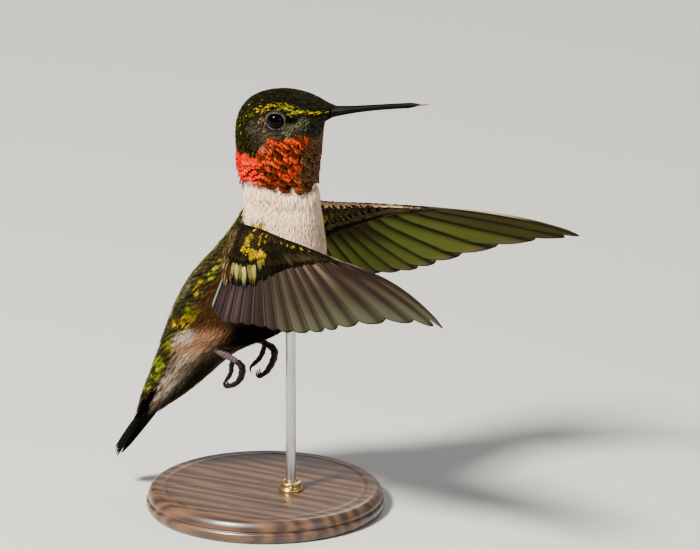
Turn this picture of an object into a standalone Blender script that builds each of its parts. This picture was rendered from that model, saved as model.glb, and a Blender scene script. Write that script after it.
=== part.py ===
"""Ruby-throated hummingbird, adult male, life size, hovering on a plain display stand.

The bird faces +X, its left side is +Y and up is +Z. The origin is the centre of the underside
of the stand's base. Sizes and places below are in millimetres, and become metres where a mesh
is made. Both wings are swept forward at the end of the downstroke, so that their upper sides
face outwards. The bird's two sides mirror each other, apart from its feet.
"""
import math

import bmesh
import bpy
import numpy as np

MM = 0.001
GAP = 0.3                      # clear space between neighbouring pieces
NUDGE = 0.01                   # step in feather or place for slopes of the wing's surface

# Stations down the body, from the bill's base to the end of the tail coverts. Each one gives
# a point (x, z) on the back line, a point (x, z) on the underside and half the width there.
STATIONS = (
    ("bill_base", (11.9, 68.6), (11.6, 66.7), 1.4),
    ("lores", (10.2, 69.1), (10.5, 65.4), 2.7),
    ("forehead", (7.4, 69.9), (9.8, 63.7), 4.1),
    ("crown", (3.4, 70.3), (9.5, 61.1), 5.2),
    ("hindcrown", (-1.3, 68.8), (9.2, 59.2), 5.8),
    ("nape", (-4.5, 65.1), (9.0, 57.3), 6.0),
    ("hindneck", (-4.9, 59.9), (9.0, 55.6), 5.9),
    ("neck", (-4.3, 55.0), (9.2, 53.9), 5.8),
    ("neck_base", (-4.1, 50.6), (9.5, 51.8), 6.1),
    ("shoulder", (-6.3, 45.9), (10.0, 47.4), 6.9),
    ("back", (-10.0, 41.2), (10.3, 42.5), 7.5),
    ("mid_back", (-13.3, 37.0), (8.8, 36.8), 7.6),
    ("belly", (-15.9, 32.0), (5.2, 31.5), 7.1),
    ("vent", (-17.5, 27.9), (0.5, 28.2), 6.3),
    ("rump", (-18.7, 24.3), (-4.7, 25.5), 5.3),
    ("under_tail", (-20.2, 20.2), (-9.5, 21.2), 4.4),
    ("covert", (-21.7, 16.2), (-14.2, 16.9), 3.6),
    ("covert_end", (-22.7, 12.7), (-18.9, 13.2), 2.8),
)
STATION_NAMES = [station[0] for station in STATIONS]
# The named pieces of the body: the stations each lies between, and its material.
BODY_PIECES = (
    ("head", "bill_base", "nape", "crown_green"),
    ("neck", "nape", "neck_base", "collar_white"),
    ("breast", "neck_base", "mid_back", "back_green"),
    ("belly", "mid_back", "rump", "flank_brown"),
    ("tail_coverts", "rump", "covert_end", "covert_grey"),
)
RINGS_PER_STATION = 2
RING_POINTS = 24

EYE_CENTRE = (3.8, 4.15, 66.5)
EYE_RADIUS = 1.5
EYE_SEGMENTS = 16

BILL_ROOT = (12.1, 67.7)
BILL_TIP = (27.3, 70.8)
BILL_HALF_WIDTHS = (1.15, 0.3)
BILL_HALF_HEIGHTS = (0.9, 0.28)
BILL_RISE = 0.15               # how far the middle of the bill stands above a straight line
TONGUE_LENGTH = 1.3
TONGUE_RADIUS = 0.25

# Wings. A place on a wing is (feather, along): feather runs from the innermost secondary, -5,
# to the outermost primary, 10, and along runs from the front edge, 0, to the feather's tip, 1.
# Points are given for the left wing.
FRONT_EDGE = (
    (-7.0, (-2.6, 4.5, 48.7)),
    (-5.5, (-1.0, 5.4, 49.0)),
    (-2.5, (1.5, 6.8, 49.2)),
    (0.5, (3.7, 7.9, 49.3)),
    (2.0, (4.9, 8.6, 49.3)),
    (4.0, (6.8, 9.5, 49.2)),
    (6.0, (9.5, 10.7, 49.1)),
    (8.0, (13.4, 12.4, 48.9)),
    (9.0, (16.3, 13.7, 48.7)),
    (10.5, (21.3, 15.8, 48.3)),
)
FEATHER_TIPS = (
    (-7.0, (-4.9, 10.0, 39.0)),
    (-5.0, (-3.9, 11.0, 35.4)),
    (-4.0, (-2.6, 11.7, 34.4)),
    (-2.0, (1.5, 13.4, 34.8)),
    (0.0, (6.6, 15.3, 35.5)),
    (2.0, (12.0, 16.8, 35.8)),
    (4.0, (18.2, 17.8, 37.1)),
    (6.0, (24.6, 19.5, 39.4)),
    (8.0, (36.0, 23.2, 42.6)),
    (9.0, (40.9, 25.0, 43.3)),
    (10.5, (43.9, 26.4, 43.7)),
)
# How far the middle of a feather bows away from a straight line.
FEATHER_BOW = (
    (-7.0, (0.0, 0.2, 0.0)),
    (2.0, (-0.4, -0.3, -0.2)),
    (5.0, (-0.3, -0.4, -0.2)),
    (8.0, (0.0, -0.5, 0.2)),
    (10.5, (0.3, -0.8, 1.6)),
)
# Where the wing's own flesh and coverts end and the bare feathers begin.
COVERT_LINE = ((-7.0, 0.62), (-4.0, 0.62), (-1.0, 0.58), (1.0, 0.46), (4.0, 0.34), (7.0, 0.25), (10.5, 0.10))
# Half the thickness of the wing's flesh, at its thickest.
ARM_HALF_THICKNESS = ((-7.0, 0.9), (-4.0, 1.6), (2.0, 1.4), (6.0, 1.05), (10.5, 0.35))
ARM_SPAN = (-7.0, 10.0)
ARM_STATIONS = 15
ARM_SIDE_POINTS = 8
PRIMARY_COUNT = 10
SECONDARY_COUNT = 6
FEATHER_HALF_THICKNESS = 0.3
FEATHER_TIP_ROUNDING = 0.05    # how far a feather's corners stop short of its tip
OUTER_TIP_ROUNDING = 0.12      # the same for the narrow outermost primary
FEATHER_ROWS = 5
FEATHER_COLUMNS = 5

# The closed, forked tail: its middle line in (x, z), and half its width along that line.
TAIL_LINE = ((-20.9, 12.5), (-22.6, 10.2), (-25.5, 5.8))
TAIL_HALF_WIDTHS = (2.9, 3.8, 3.1)
TAIL_HALF_THICKNESS = 0.4
TAIL_PAIRS = (("inner", 0.60), ("middle", 0.82), ("outer", 1.0))
TAIL_ROWS = 6

# The right foot's joints as (x, z), and the sideways place of the leg. The left foot is the
# same foot, held a little further forward.
LEG_Y = 4.6
LEG_LINE = ((-6.3, 28.4), (-4.6, 26.7), (-2.3, 25.6))
TOE_LINE = ((-2.3, 25.6), (-1.55, 24.4), (-1.55, 23.2), (-2.1, 21.8), (-3.2, 21.0), (-4.5, 21.25))
HIND_TOE_LINE = ((-2.9, 25.7), (-3.7, 24.9), (-4.1, 23.2), (-4.7, 22.2), (-5.3, 22.1))
TOE_SPREAD = 0.6              # sideways distance between the front toes
LEG_RADIUS = 0.42
TOE_RADII = (0.42, 0.44, 0.40, 0.40, 0.33, 0.25)
HIND_TOE_RADII = (0.36, 0.38, 0.36, 0.32, 0.25)
LEFT_FOOT_SHIFT = (1.1, 0.0, -0.2)
TUBE_SIDES = 8
TUBE_STEPS = 2                 # rings between two points of a tube's line

BASE_RADIUS = 19.0
BASE_HEIGHT = 3.6
BASE_BEVEL = 0.7
BASE_SIDES = 48
ROD_X = 4.5
ROD_RADIUS = 0.8
ROD_TOP = 36.0                 # inside the belly, which cuts the rod to length
ROD_SIDES = 20
COLLAR_RADIUS = 2.0
COLLAR_HEIGHT = 1.4
COLLAR_BEVEL = 0.3

# Colour, roughness and metallic value of each material.
MATERIALS = {
    "crown_green": ((0.035, 0.045, 0.012), 0.5, 0.0),
    "collar_white": ((0.62, 0.56, 0.50), 0.8, 0.0),
    "back_green": ((0.07, 0.085, 0.015), 0.5, 0.0),
    "flank_brown": ((0.16, 0.10, 0.055), 0.8, 0.0),
    "covert_grey": ((0.36, 0.31, 0.27), 0.8, 0.0),
    "wing_covert": ((0.055, 0.055, 0.018), 0.55, 0.0),
    "primary_brown": ((0.085, 0.062, 0.052), 0.5, 0.0),
    "secondary_brown": ((0.075, 0.050, 0.052), 0.5, 0.0),
    "tail_black": ((0.014, 0.013, 0.013), 0.5, 0.0),
    "bill_black": ((0.012, 0.011, 0.011), 0.3, 0.0),
    "tongue_brown": ((0.10, 0.05, 0.035), 0.5, 0.0),
    "eye_black": ((0.006, 0.005, 0.005), 0.08, 0.0),
    "foot_dark": ((0.035, 0.027, 0.028), 0.45, 0.0),
    "base_wood": ((0.055, 0.028, 0.014), 0.35, 0.0),
    "rod_steel": ((0.55, 0.55, 0.56), 0.25, 1.0),
    "collar_brass": ((0.62, 0.42, 0.16), 0.3, 1.0),
}


# ---------------------------------------------------------------- shapes

def spline(knots, values, places):
    """Natural cubic spline through values at knots, read at places."""
    knots = np.asarray(knots, float)
    values = np.asarray(values, float).reshape(len(knots), -1)
    places = np.atleast_1d(np.asarray(places, float))
    count = len(knots)
    step = np.diff(knots)
    matrix = np.eye(count)
    right = np.zeros_like(values)
    slopes = np.diff(values, axis=0) / step[:, None]
    for i in range(1, count - 1):
        matrix[i, i - 1:i + 2] = step[i - 1], 2.0 * (step[i - 1] + step[i]), step[i]
        right[i] = 6.0 * (slopes[i] - slopes[i - 1])
    bend = np.linalg.solve(matrix, right)
    i = np.clip(np.searchsorted(knots, places) - 1, 0, count - 2)
    width = step[i][:, None]
    before = (knots[i + 1] - places)[:, None]
    after = (places - knots[i])[:, None]
    return ((bend[i] * before ** 3 + bend[i + 1] * after ** 3) / (6.0 * width)
            + (values[i] / width - bend[i] * width / 6.0) * before
            + (values[i + 1] / width - bend[i + 1] * width / 6.0) * after)


def along(table, places):
    """Read a table of (knot, value) rows at places by a spline."""
    return spline([row[0] for row in table], [row[1] for row in table], places)


def unit(vectors):
    return vectors / np.linalg.norm(vectors, axis=-1, keepdims=True)


def body_rings(places, swell=0.0):
    """Ellipses across the body, in the plane of the back point, the belly point and Y."""
    knots = range(len(STATIONS))
    back = spline(knots, [station[1] for station in STATIONS], places)
    under = spline(knots, [station[2] for station in STATIONS], places)
    half_width = spline(knots, [station[3] for station in STATIONS], places)[:, 0] + swell
    middle = (back + under) / 2.0
    depth = (back - under) / 2.0
    depth = depth + swell * unit(depth)
    turn = np.linspace(0.0, 2.0 * math.pi, RING_POINTS, endpoint=False)
    rings = np.empty((len(half_width), RING_POINTS, 3))
    rings[:, :, 0] = middle[:, :1] + depth[:, :1] * np.cos(turn)
    rings[:, :, 1] = half_width[:, None] * np.sin(turn)
    rings[:, :, 2] = middle[:, 1:] + depth[:, 1:] * np.cos(turn)
    return rings


def wing_points(feather, place):
    """Points of the left wing's middle surface at arrays of feather and place along it."""
    shape = np.broadcast(feather, place).shape
    feather = np.broadcast_to(feather, shape).ravel()
    place = np.broadcast_to(place, shape).ravel()[:, None]
    front = along(FRONT_EDGE, feather)
    tip = along(FEATHER_TIPS, feather)
    bow = along(FEATHER_BOW, feather) * 4.0 * place * (1.0 - place)
    return (front + (tip - front) * place + bow).reshape(shape + (3,))


def wing_normals(feather):
    """Unit vectors square to the left wing at half length, towards its upper side."""
    half = np.full_like(feather, 0.5)
    across = wing_points(feather + NUDGE, half) - wing_points(feather - NUDGE, half)
    down = wing_points(feather, half + NUDGE) - wing_points(feather, half - NUDGE)
    return unit(np.cross(down, across))


def plate(middle, normals, half_thickness):
    """Vertices and faces of a closed plate about a grid of points."""
    rows, columns = middle.shape[:2]
    offset = normals * half_thickness
    vertices = np.concatenate([(middle + offset).reshape(-1, 3), (middle - offset).reshape(-1, 3)])
    index = np.arange(rows * columns).reshape(rows, columns)
    faces = [
        (int(index[i, j]), int(index[i + 1, j]), int(index[i + 1, j + 1]), int(index[i, j + 1]))
        for i in range(rows - 1) for j in range(columns - 1)
    ]
    under = rows * columns
    faces += [tuple(under + corner for corner in reversed(face)) for face in faces]
    rim = [*index[0, :-1], *index[:-1, -1], *index[-1, :0:-1], *index[:0:-1, 0]]
    for here, ahead in zip(rim, rim[1:] + rim[:1]):
        faces.append((int(here), int(ahead), int(under + ahead), int(under + here)))
    return vertices, faces


def loft(rings):
    """Vertices and faces of a closed solid through rings of points, capped at both ends."""
    count, points = rings.shape[:2]
    faces = []
    for i in range(count - 1):
        for j in range(points):
            k = (j + 1) % points
            faces.append((i * points + j, i * points + k, (i + 1) * points + k, (i + 1) * points + j))
    faces.append(tuple(reversed(range(points))))
    faces.append(tuple(range((count - 1) * points, count * points)))
    return rings.reshape(-1, 3), faces


def tube(line, half_widths, half_heights, sides=TUBE_SIDES):
    """A closed tube along a line of points that stays in an upright plane along X."""
    line = np.asarray(line, float)
    ahead = unit(np.gradient(line, axis=0))
    across = np.array([0.0, 1.0, 0.0])
    upward = unit(np.cross(ahead, across))
    turn = np.linspace(0.0, 2.0 * math.pi, sides, endpoint=False)[None, :, None]
    rings = (line[:, None, :]
             + np.asarray(half_widths)[:, None, None] * np.cos(turn) * across
             + np.asarray(half_heights)[:, None, None] * np.sin(turn) * upward[:, None, :])
    return loft(rings)


def mirrored(vertices, side):
    """Left-hand points as they are for side 1, or moved to the right for side -1."""
    return np.asarray(vertices) * (1.0, side, 1.0)


# ---------------------------------------------------------------- Blender objects

def clear_scene():
    for thing in list(bpy.data.objects):
        bpy.data.objects.remove(thing, do_unlink=True)


def material(name):
    found = bpy.data.materials.get(name)
    if found:
        return found
    colour, roughness, metallic = MATERIALS[name]
    made = bpy.data.materials.new(name)
    made.use_nodes = True
    shader = made.node_tree.nodes["Principled BSDF"]
    shader.inputs["Base Color"].default_value = (*colour, 1.0)
    shader.inputs["Roughness"].default_value = roughness
    shader.inputs["Metallic"].default_value = metallic
    made.diffuse_color = (*colour, 1.0)
    return made


def finish_object(mesh, name, material_name, parent):
    mesh.materials.append(material(material_name))
    mesh.shade_smooth()
    mesh.set_sharp_from_angle(angle=math.radians(40.0))
    made = bpy.data.objects.new(name, mesh)
    bpy.context.scene.collection.objects.link(made)
    made.parent = parent
    return made


def add_mesh(name, shape, material_name, parent):
    """An object from vertices in millimetres and faces, with its faces turned outwards."""
    vertices, faces = shape
    mesh = bpy.data.meshes.new(name)
    mesh.from_pydata((np.asarray(vertices) * MM).tolist(), [], faces)
    work = bmesh.new()
    work.from_mesh(mesh)
    if work.calc_volume(signed=True) < 0.0:
        bmesh.ops.reverse_faces(work, faces=work.faces)
    work.to_mesh(mesh)
    work.free()
    return finish_object(mesh, name, material_name, parent)


def add_turned(name, radius, height, sides, bevel, place, material_name, parent):
    """An upright cylinder standing on place, with its top rim bevelled."""
    mesh = bpy.data.meshes.new(name)
    work = bmesh.new()
    bmesh.ops.create_cone(work, cap_ends=True, segments=sides, radius1=radius * MM,
                          radius2=radius * MM, depth=height * MM)
    if bevel:
        top = max(vertex.co.z for vertex in work.verts)
        rim = [edge for edge in work.edges if min(vertex.co.z for vertex in edge.verts) > top - GAP * MM]
        bmesh.ops.bevel(work, geom=rim, offset=bevel * MM, segments=3, profile=0.5,
                        affect="EDGES", clamp_overlap=True)
    work.to_mesh(mesh)
    work.free()
    made = finish_object(mesh, name, material_name, parent)
    made.location = (place[0] * MM, place[1] * MM, (place[2] + height / 2.0) * MM)
    return made


def add_ball(name, radius, centre, material_name, parent):
    mesh = bpy.data.meshes.new(name)
    work = bmesh.new()
    bmesh.ops.create_uvsphere(work, u_segments=EYE_SEGMENTS, v_segments=EYE_SEGMENTS // 2,
                              radius=radius * MM)
    work.to_mesh(mesh)
    work.free()
    made = finish_object(mesh, name, material_name, parent)
    made.location = [value * MM for value in centre]
    return made


def as_guide(thing):
    """Mark an object as a cutter or a guide, which isn't part of the model."""
    thing.hide_render = True
    thing.display_type = "WIRE"
    return thing


def combine(target, other, operation):
    step = target.modifiers.new(f"{operation.lower()}_{other.name}", "BOOLEAN")
    step.operation = operation
    step.solver = "EXACT"
    step.object = other


# ---------------------------------------------------------------- the bird

def station_range(first, last, edge=0.0):
    """Places from one station to another."""
    start = STATION_NAMES.index(first)
    end = STATION_NAMES.index(last)
    return np.linspace(start + edge, end - edge, (end - start) * RINGS_PER_STATION + 1)


def add_body(parent):
    """Head, neck, breast, belly and tail coverts, parted by thin plane cuts."""
    pieces = {}
    for name, first, last, material_name in BODY_PIECES:
        rings = body_rings(station_range(first, last))
        for end, inward in ((0, 1), (-1, -2)):
            plane = np.cross(rings[end, 0] - rings[end, RING_POINTS // 2], (0.0, 1.0, 0.0))
            plane = unit(plane)
            into = (rings[inward] - rings[end]).mean(axis=0)
            rings[end] += plane * np.sign(plane @ into) * GAP / 2.0
        pieces[name] = add_mesh(name, loft(rings), material_name, parent)
    return pieces


def add_body_cutter(parent):
    """The body swollen by the gap, which trims whatever grows out of it."""
    rings = body_rings(station_range("neck_base", "covert"), swell=GAP)
    return as_guide(add_mesh("body_cutter", loft(rings), "back_green", parent))


def add_eyes(head, parent):
    for label, side in (("left", 1), ("right", -1)):
        centre = mirrored(EYE_CENTRE, side)
        add_ball(f"eye_{label}", EYE_RADIUS, centre, "eye_black", parent)
        socket = add_ball(f"eye_socket_{label}", EYE_RADIUS + GAP, centre, "crown_green", parent)
        combine(head, as_guide(socket), "DIFFERENCE")


def add_bill(parent):
    rows = np.linspace(0.0, 1.0, 9)
    line = np.zeros((len(rows), 3))
    line[:, 0] = BILL_ROOT[0] + (BILL_TIP[0] - BILL_ROOT[0]) * rows
    line[:, 2] = BILL_ROOT[1] + (BILL_TIP[1] - BILL_ROOT[1]) * rows
    line[:, 2] += BILL_RISE * np.sin(math.pi * rows)
    taper = (1.0 - rows) ** 1.6
    widths = BILL_HALF_WIDTHS[1] + (BILL_HALF_WIDTHS[0] - BILL_HALF_WIDTHS[1]) * taper
    heights = BILL_HALF_HEIGHTS[1] + (BILL_HALF_HEIGHTS[0] - BILL_HALF_HEIGHTS[1]) * taper
    add_mesh("bill", tube(line, widths, heights, sides=12), "bill_black", parent)
    ahead = unit(line[-1] - line[-2])
    tongue = [line[-1] + ahead * (GAP + TONGUE_LENGTH * part) for part in (0.0, 0.5, 1.0)]
    add_mesh("tongue_tip", tube(tongue, [TONGUE_RADIUS] * 3, [TONGUE_RADIUS] * 3), "tongue_brown", parent)


def add_wing(label, side, cutter, parent):
    """The arm and hand with their coverts, the primaries and the secondaries of one wing."""
    feather = np.linspace(*ARM_SPAN, ARM_STATIONS)[:, None]
    covert_line = along(COVERT_LINE, feather[:, 0])
    thickness = along(ARM_HALF_THICKNESS, feather[:, 0])
    share = np.linspace(0.0, 1.0, ARM_SIDE_POINTS) ** 1.5
    place = covert_line * share
    middle = wing_points(feather, place)
    normal = wing_normals(feather)
    # A section is blunt in front, thickest a third of the way back and thin at the coverts' end.
    swell = 2.6 * np.sqrt(share) * (1.0 - share) * thickness + np.sqrt(share) * FEATHER_HALF_THICKNESS
    upper = middle + normal * swell[..., None]
    lower = middle - normal * swell[..., None]
    rings = np.concatenate([upper, lower[:, :0:-1]], axis=1)
    arm = add_mesh(f"wing_{label}_arm", loft(mirrored(rings, side)), "wing_covert", parent)
    combine(arm, cutter, "DIFFERENCE")

    for number in range(1 - SECONDARY_COUNT, PRIMARY_COUNT + 1):
        primary = number > 0
        name = f"wing_{label}_primary_{number}" if primary else f"wing_{label}_secondary_{1 - number}"
        rounding = OUTER_TIP_ROUNDING if number == PRIMARY_COUNT else FEATHER_TIP_ROUNDING
        shape = wing_feather(number, rounding, side)
        add_mesh(name, shape, "primary_brown" if primary else "secondary_brown", parent)


def wing_feather(number, rounding, side):
    """One flight feather as a thin plate, clear of its neighbours and of the arm by the gap."""
    across = np.linspace(-1.0, 1.0, FEATHER_COLUMNS)[None, :]
    down = np.linspace(0.0, 1.0, FEATHER_ROWS)[:, None]
    start = along(COVERT_LINE, [number])[0, 0]
    length = np.linalg.norm(wing_points(number, 1.0) - wing_points(number, 0.0))
    start += GAP / length
    place = start + (1.0 - rounding * across ** 2 - start) * down
    step = wing_points(number + 0.5, place) - wing_points(number - 0.5, place)
    ahead = unit(wing_points(number, place + NUDGE) - wing_points(number, place - NUDGE))
    pitch = np.linalg.norm(np.cross(step, ahead), axis=-1)
    half = 0.5 - 0.5 * GAP / pitch
    feather = number + across * half
    middle = wing_points(feather, place)
    return plate(mirrored(middle, side), mirrored(wing_normals(feather), side), FEATHER_HALF_THICKNESS)


def add_tail(parent):
    """A closed forked tail: three strips a side, the outer ones longest."""
    width_of_pair = 1.0 / len(TAIL_PAIRS)
    for label, side in (("left", 1), ("right", -1)):
        for order, (pair, reach) in enumerate(TAIL_PAIRS):
            down = np.linspace(0.0, reach, TAIL_ROWS)
            line = spline((0.0, 0.36, 1.0), TAIL_LINE, down)
            half_width = spline((0.0, 0.4, 1.0), TAIL_HALF_WIDTHS, down)[:, 0]
            inner = half_width * order * width_of_pair + GAP / 2.0
            outer = half_width * (order + 1) * width_of_pair - GAP / 2.0
            # The tip narrows to its outer edge, which makes the fork's points.
            inner[-1] = inner[-1] + (outer[-1] - inner[-1]) * 0.45
            middle = np.zeros((TAIL_ROWS, 2, 3))
            middle[:, :, 0] = line[:, :1]
            middle[:, :, 2] = line[:, 1:]
            middle[:, 0, 1] = inner
            middle[:, 1, 1] = outer
            ahead = np.gradient(line, axis=0)
            normal = unit(np.stack([-ahead[:, 1], np.zeros(TAIL_ROWS), ahead[:, 0]], axis=1))
            shape = plate(mirrored(middle, side), normal[:, None, :], TAIL_HALF_THICKNESS)
            add_mesh(f"tail_{label}_{pair}", shape, "tail_black", parent)


def foot_tube(line, radii, sideways, shift):
    """A tube through a foot's points (x, z), leaning sideways by as much as it goes on."""
    knots = np.arange(len(line))
    places = np.linspace(0.0, len(line) - 1.0, (len(line) - 1) * TUBE_STEPS + 1)
    flat = spline(knots, line, places)
    radius = spline(knots, radii, places)[:, 0]
    points = np.zeros((len(places), 3))
    points[:, 0] = flat[:, 0]
    points[:, 1] = sideways[0] + (sideways[1] - sideways[0]) * np.sqrt(places / places[-1])
    points[:, 2] = flat[:, 1]
    return tube(points + shift, radius, radius)


def add_leg(label, side, cutter, parent):
    """A leg with three front toes and a hind toe, curled under the belly."""
    shift = np.array(LEFT_FOOT_SHIFT if side > 0 else (0.0, 0.0, 0.0))
    y = side * LEG_Y
    shank = foot_tube(LEG_LINE, [LEG_RADIUS] * len(LEG_LINE), (y, y), shift)
    leg = add_mesh(f"foot_{label}", shank, "foot_dark", parent)
    toes = [(f"hind_toe_{label}", HIND_TOE_LINE, HIND_TOE_RADII, (y, y))]
    for number, offset in enumerate((-TOE_SPREAD, 0.0, TOE_SPREAD), 1):
        toes.append((f"toe_{label}_{number}", TOE_LINE, TOE_RADII, (y, y + offset)))
    for name, line, radii, sideways in toes:
        toe = add_mesh(name, foot_tube(line, radii, sideways, shift), "foot_dark", parent)
        combine(leg, as_guide(toe), "UNION")
    combine(leg, cutter, "DIFFERENCE")


def add_stand(cutter, parent):
    add_turned("stand_base", BASE_RADIUS, BASE_HEIGHT, BASE_SIDES, BASE_BEVEL, (0.0, 0.0, 0.0),
               "base_wood", parent)
    rod_foot = BASE_HEIGHT + GAP
    rod = add_turned("stand_rod", ROD_RADIUS, ROD_TOP - rod_foot, ROD_SIDES, 0.0, (ROD_X, 0.0, rod_foot),
                     "rod_steel", parent)
    combine(rod, cutter, "DIFFERENCE")
    collar = add_turned("stand_collar", COLLAR_RADIUS, COLLAR_HEIGHT, 32, COLLAR_BEVEL,
                        (ROD_X, 0.0, rod_foot), "collar_brass", parent)
    bore = add_turned("collar_bore", ROD_RADIUS + GAP, 3.0 * COLLAR_HEIGHT, ROD_SIDES, 0.0,
                      (ROD_X, 0.0, rod_foot - COLLAR_HEIGHT), "collar_brass", parent)
    combine(collar, as_guide(bore), "DIFFERENCE")


def main():
    clear_scene()
    bird = bpy.data.objects.new("hummingbird", None)
    stand = bpy.data.objects.new("display_stand", None)
    for holder in (bird, stand):
        bpy.context.scene.collection.objects.link(holder)
    pieces = add_body(bird)
    cutter = add_body_cutter(bird)
    add_eyes(pieces["head"], bird)
    add_bill(bird)
    for label, side in (("left", 1), ("right", -1)):
        add_wing(label, side, cutter, bird)
        add_leg(label, side, cutter, bird)
    add_tail(bird)
    add_stand(cutter, stand)


main()
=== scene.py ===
"""Adult male ruby-throated hummingbird, life size, hovering on a plain display stand.

The bird faces +X, its left side is +Y and up is +Z. Lengths in this file are in millimetres and
become metres where a mesh is made. A place on the body is (station, angle): station counts the
rows of STATIONS from the bill's base to the tail, and angle goes round from the back line, 0,
over the left side to the underside, pi. A place on a wing is (feather, along): feather runs from
the innermost secondary, -5, to the outermost primary, 10, and along from the front edge, 0, to
the feather's tip, 1.
"""
import math

import bpy
import numpy as np
from bpy.props import FloatProperty, FloatVectorProperty, PointerProperty
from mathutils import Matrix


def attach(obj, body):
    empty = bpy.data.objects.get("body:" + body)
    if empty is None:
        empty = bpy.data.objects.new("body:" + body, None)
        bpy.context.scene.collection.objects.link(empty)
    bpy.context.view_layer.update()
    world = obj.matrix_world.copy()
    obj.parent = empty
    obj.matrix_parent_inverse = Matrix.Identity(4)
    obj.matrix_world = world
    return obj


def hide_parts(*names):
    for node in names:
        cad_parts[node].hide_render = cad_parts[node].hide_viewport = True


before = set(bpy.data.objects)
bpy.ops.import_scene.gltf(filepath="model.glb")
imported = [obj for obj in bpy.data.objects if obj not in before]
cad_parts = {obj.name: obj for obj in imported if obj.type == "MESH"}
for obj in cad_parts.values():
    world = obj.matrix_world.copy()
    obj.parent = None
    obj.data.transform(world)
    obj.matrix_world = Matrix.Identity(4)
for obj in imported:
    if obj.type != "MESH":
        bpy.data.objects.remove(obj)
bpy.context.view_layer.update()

bl_info = {
    "name": "Ruby-throated Hummingbird Model",
    "version": (1, 0, 0),
    "blender": (4, 5, 0),
    "location": "3D View > Sidebar > Bird",
    "description": "Builds the skin, plumage, bill, eyes, feet and stand of a life-size hummingbird",
    "category": "Object",
}

MM = 0.001
TURN = 2.0 * math.pi
NUDGE = 0.01                   # step of a difference taken for a slope
GOLDEN = (math.sqrt(5.0) - 1.0) / 2.0
SEED = 1758
PATCH = 0.003                  # size of a leaf's patch in the OFBake map
SIDES = (("left", 1), ("right", -1))

# Back point (x, z), underside point (x, z) and half width at each station. The last row lies
# over the root of the tail, where only long coverts reach.
STATIONS = np.array((
    (12.5, 68.7, 12.2, 66.8, 1.2),
    (10.2, 69.1, 10.1, 65.4, 2.7),
    (7.4, 69.9, 9.55, 63.7, 4.1),
    (3.4, 70.3, 9.5, 61.1, 5.2),
    (-1.5, 69.0, 9.55, 59.2, 5.8),
    (-4.45, 65.3, 9.4, 57.3, 6.0),
    (-4.7, 59.9, 9.4, 55.6, 5.9),
    (-4.15, 55.0, 9.5, 53.9, 5.8),
    (-4.0, 50.6, 9.7, 51.8, 6.1),
    (-6.3, 45.9, 10.0, 47.4, 6.9),
    (-10.0, 41.2, 10.3, 42.5, 7.5),
    (-13.3, 37.0, 8.8, 36.8, 7.6),
    (-15.9, 32.0, 5.2, 31.5, 7.1),
    (-17.5, 27.9, 0.5, 28.2, 6.3),
    (-18.7, 24.3, -4.7, 25.5, 5.3),
    (-20.2, 20.2, -9.5, 21.2, 4.4),
    (-21.7, 16.2, -14.2, 16.9, 3.6),
    (-22.7, 12.7, -18.9, 13.2, 2.8),
    (-24.1, 9.3, -22.0, 9.6, 2.6),
))
BODY_END = 17.0
ROOTS_START, ROOTS_END = 0.06, 16.9
# Depth of the coat under the bird's outline, and how far its feathers rise from the skin, as
# (station, mm).
COAT_DEPTH = ((0, 0.10), (1, 0.26), (3, 0.42), (5, 0.60), (7, 1.15), (8, 1.10), (9.5, 1.0), (14, 0.95),
              (17, 0.7), (18, 0.3))
COAT_RISE = ((0, 0.08), (1, 0.22), (3, 0.36), (5, 0.55), (6.4, 0.85), (7.4, 0.50), (8.5, 0.75), (10, 0.90),
             (14, 0.85), (17, 0.6), (18, 0.3))

# Lines that part the coats, as (angle from the back in degrees, station).
GORGET_TOP = ((26, 6.05), (48, 5.9), (62, 5.75), (72, 5.6), (78, 5.5), (84, 5.15), (92, 4.45), (97, 4.05),
              (100, 3.85), (103, 3.55), (109, 2.95), (118, 2.5), (137, 2.2), (159, 2.2), (180, 2.0))
GORGET_END = ((26, 6.9), (45, 6.82), (63, 6.80), (83, 6.68), (90, 6.42), (101, 6.56), (114, 6.76),
              (128, 6.48), (134, 6.36), (148, 6.70), (160, 6.32), (172, 6.08), (180, 6.1))
COLLAR_END = ((26, 7.9), (45, 8.15), (60, 8.7), (75, 9.1), (90, 9.3), (105, 9.4), (120, 9.5), (135, 9.6),
              (150, 9.7), (165, 9.8), (180, 10.0))
NAPE_ANGLE = 26.0
# Half the angle of the green back, as (station, degrees).
BACK_EDGE = ((6.5, 26), (7.8, 34), (8.6, 58), (10, 64), (12.4, 62), (13.2, 60), (14.2, 72), (15.5, 76),
             (17, 92))
UNDER_TAIL_START = 13.3
BELLY_ANGLE = 150.0
HEAD_END = 6.0

# Feathers of each coat: spacing of their roots, length, width, depth of the teeth at their tips
# as a share of the length, spread of their brightness, length, spacing and width of the fine
# strands between them, and softness from 0, crisp scales, to 1, loose hair-like barbs.
COATS = {
    "head": (0.37, 1.20, 0.50, 0.22, 0.42, 0.95, 0.32, 0.09, 0.8),
    "gorget": (0.95, 2.00, 1.55, 0.07, 0.16, 0.0, 0.0, 0.1, 0.0),
    "collar": (0.62, 2.60, 0.80, 0.30, 0.04, 2.2, 0.26, 0.13, 1.0),
    "back": (0.92, 2.70, 1.30, 0.26, 0.32, 2.2, 0.60, 0.12, 0.35),
    "flank": (0.80, 3.20, 0.80, 0.40, 0.12, 2.6, 0.36, 0.12, 1.0),
    "belly": (0.90, 3.00, 0.90, 0.36, 0.10, 2.6, 0.50, 0.13, 1.0),
    "under_tail": (0.90, 3.40, 1.00, 0.32, 0.08, 2.8, 0.38, 0.13, 1.0),
}
COAT = {name: number for number, name in enumerate(COATS)}
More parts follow.
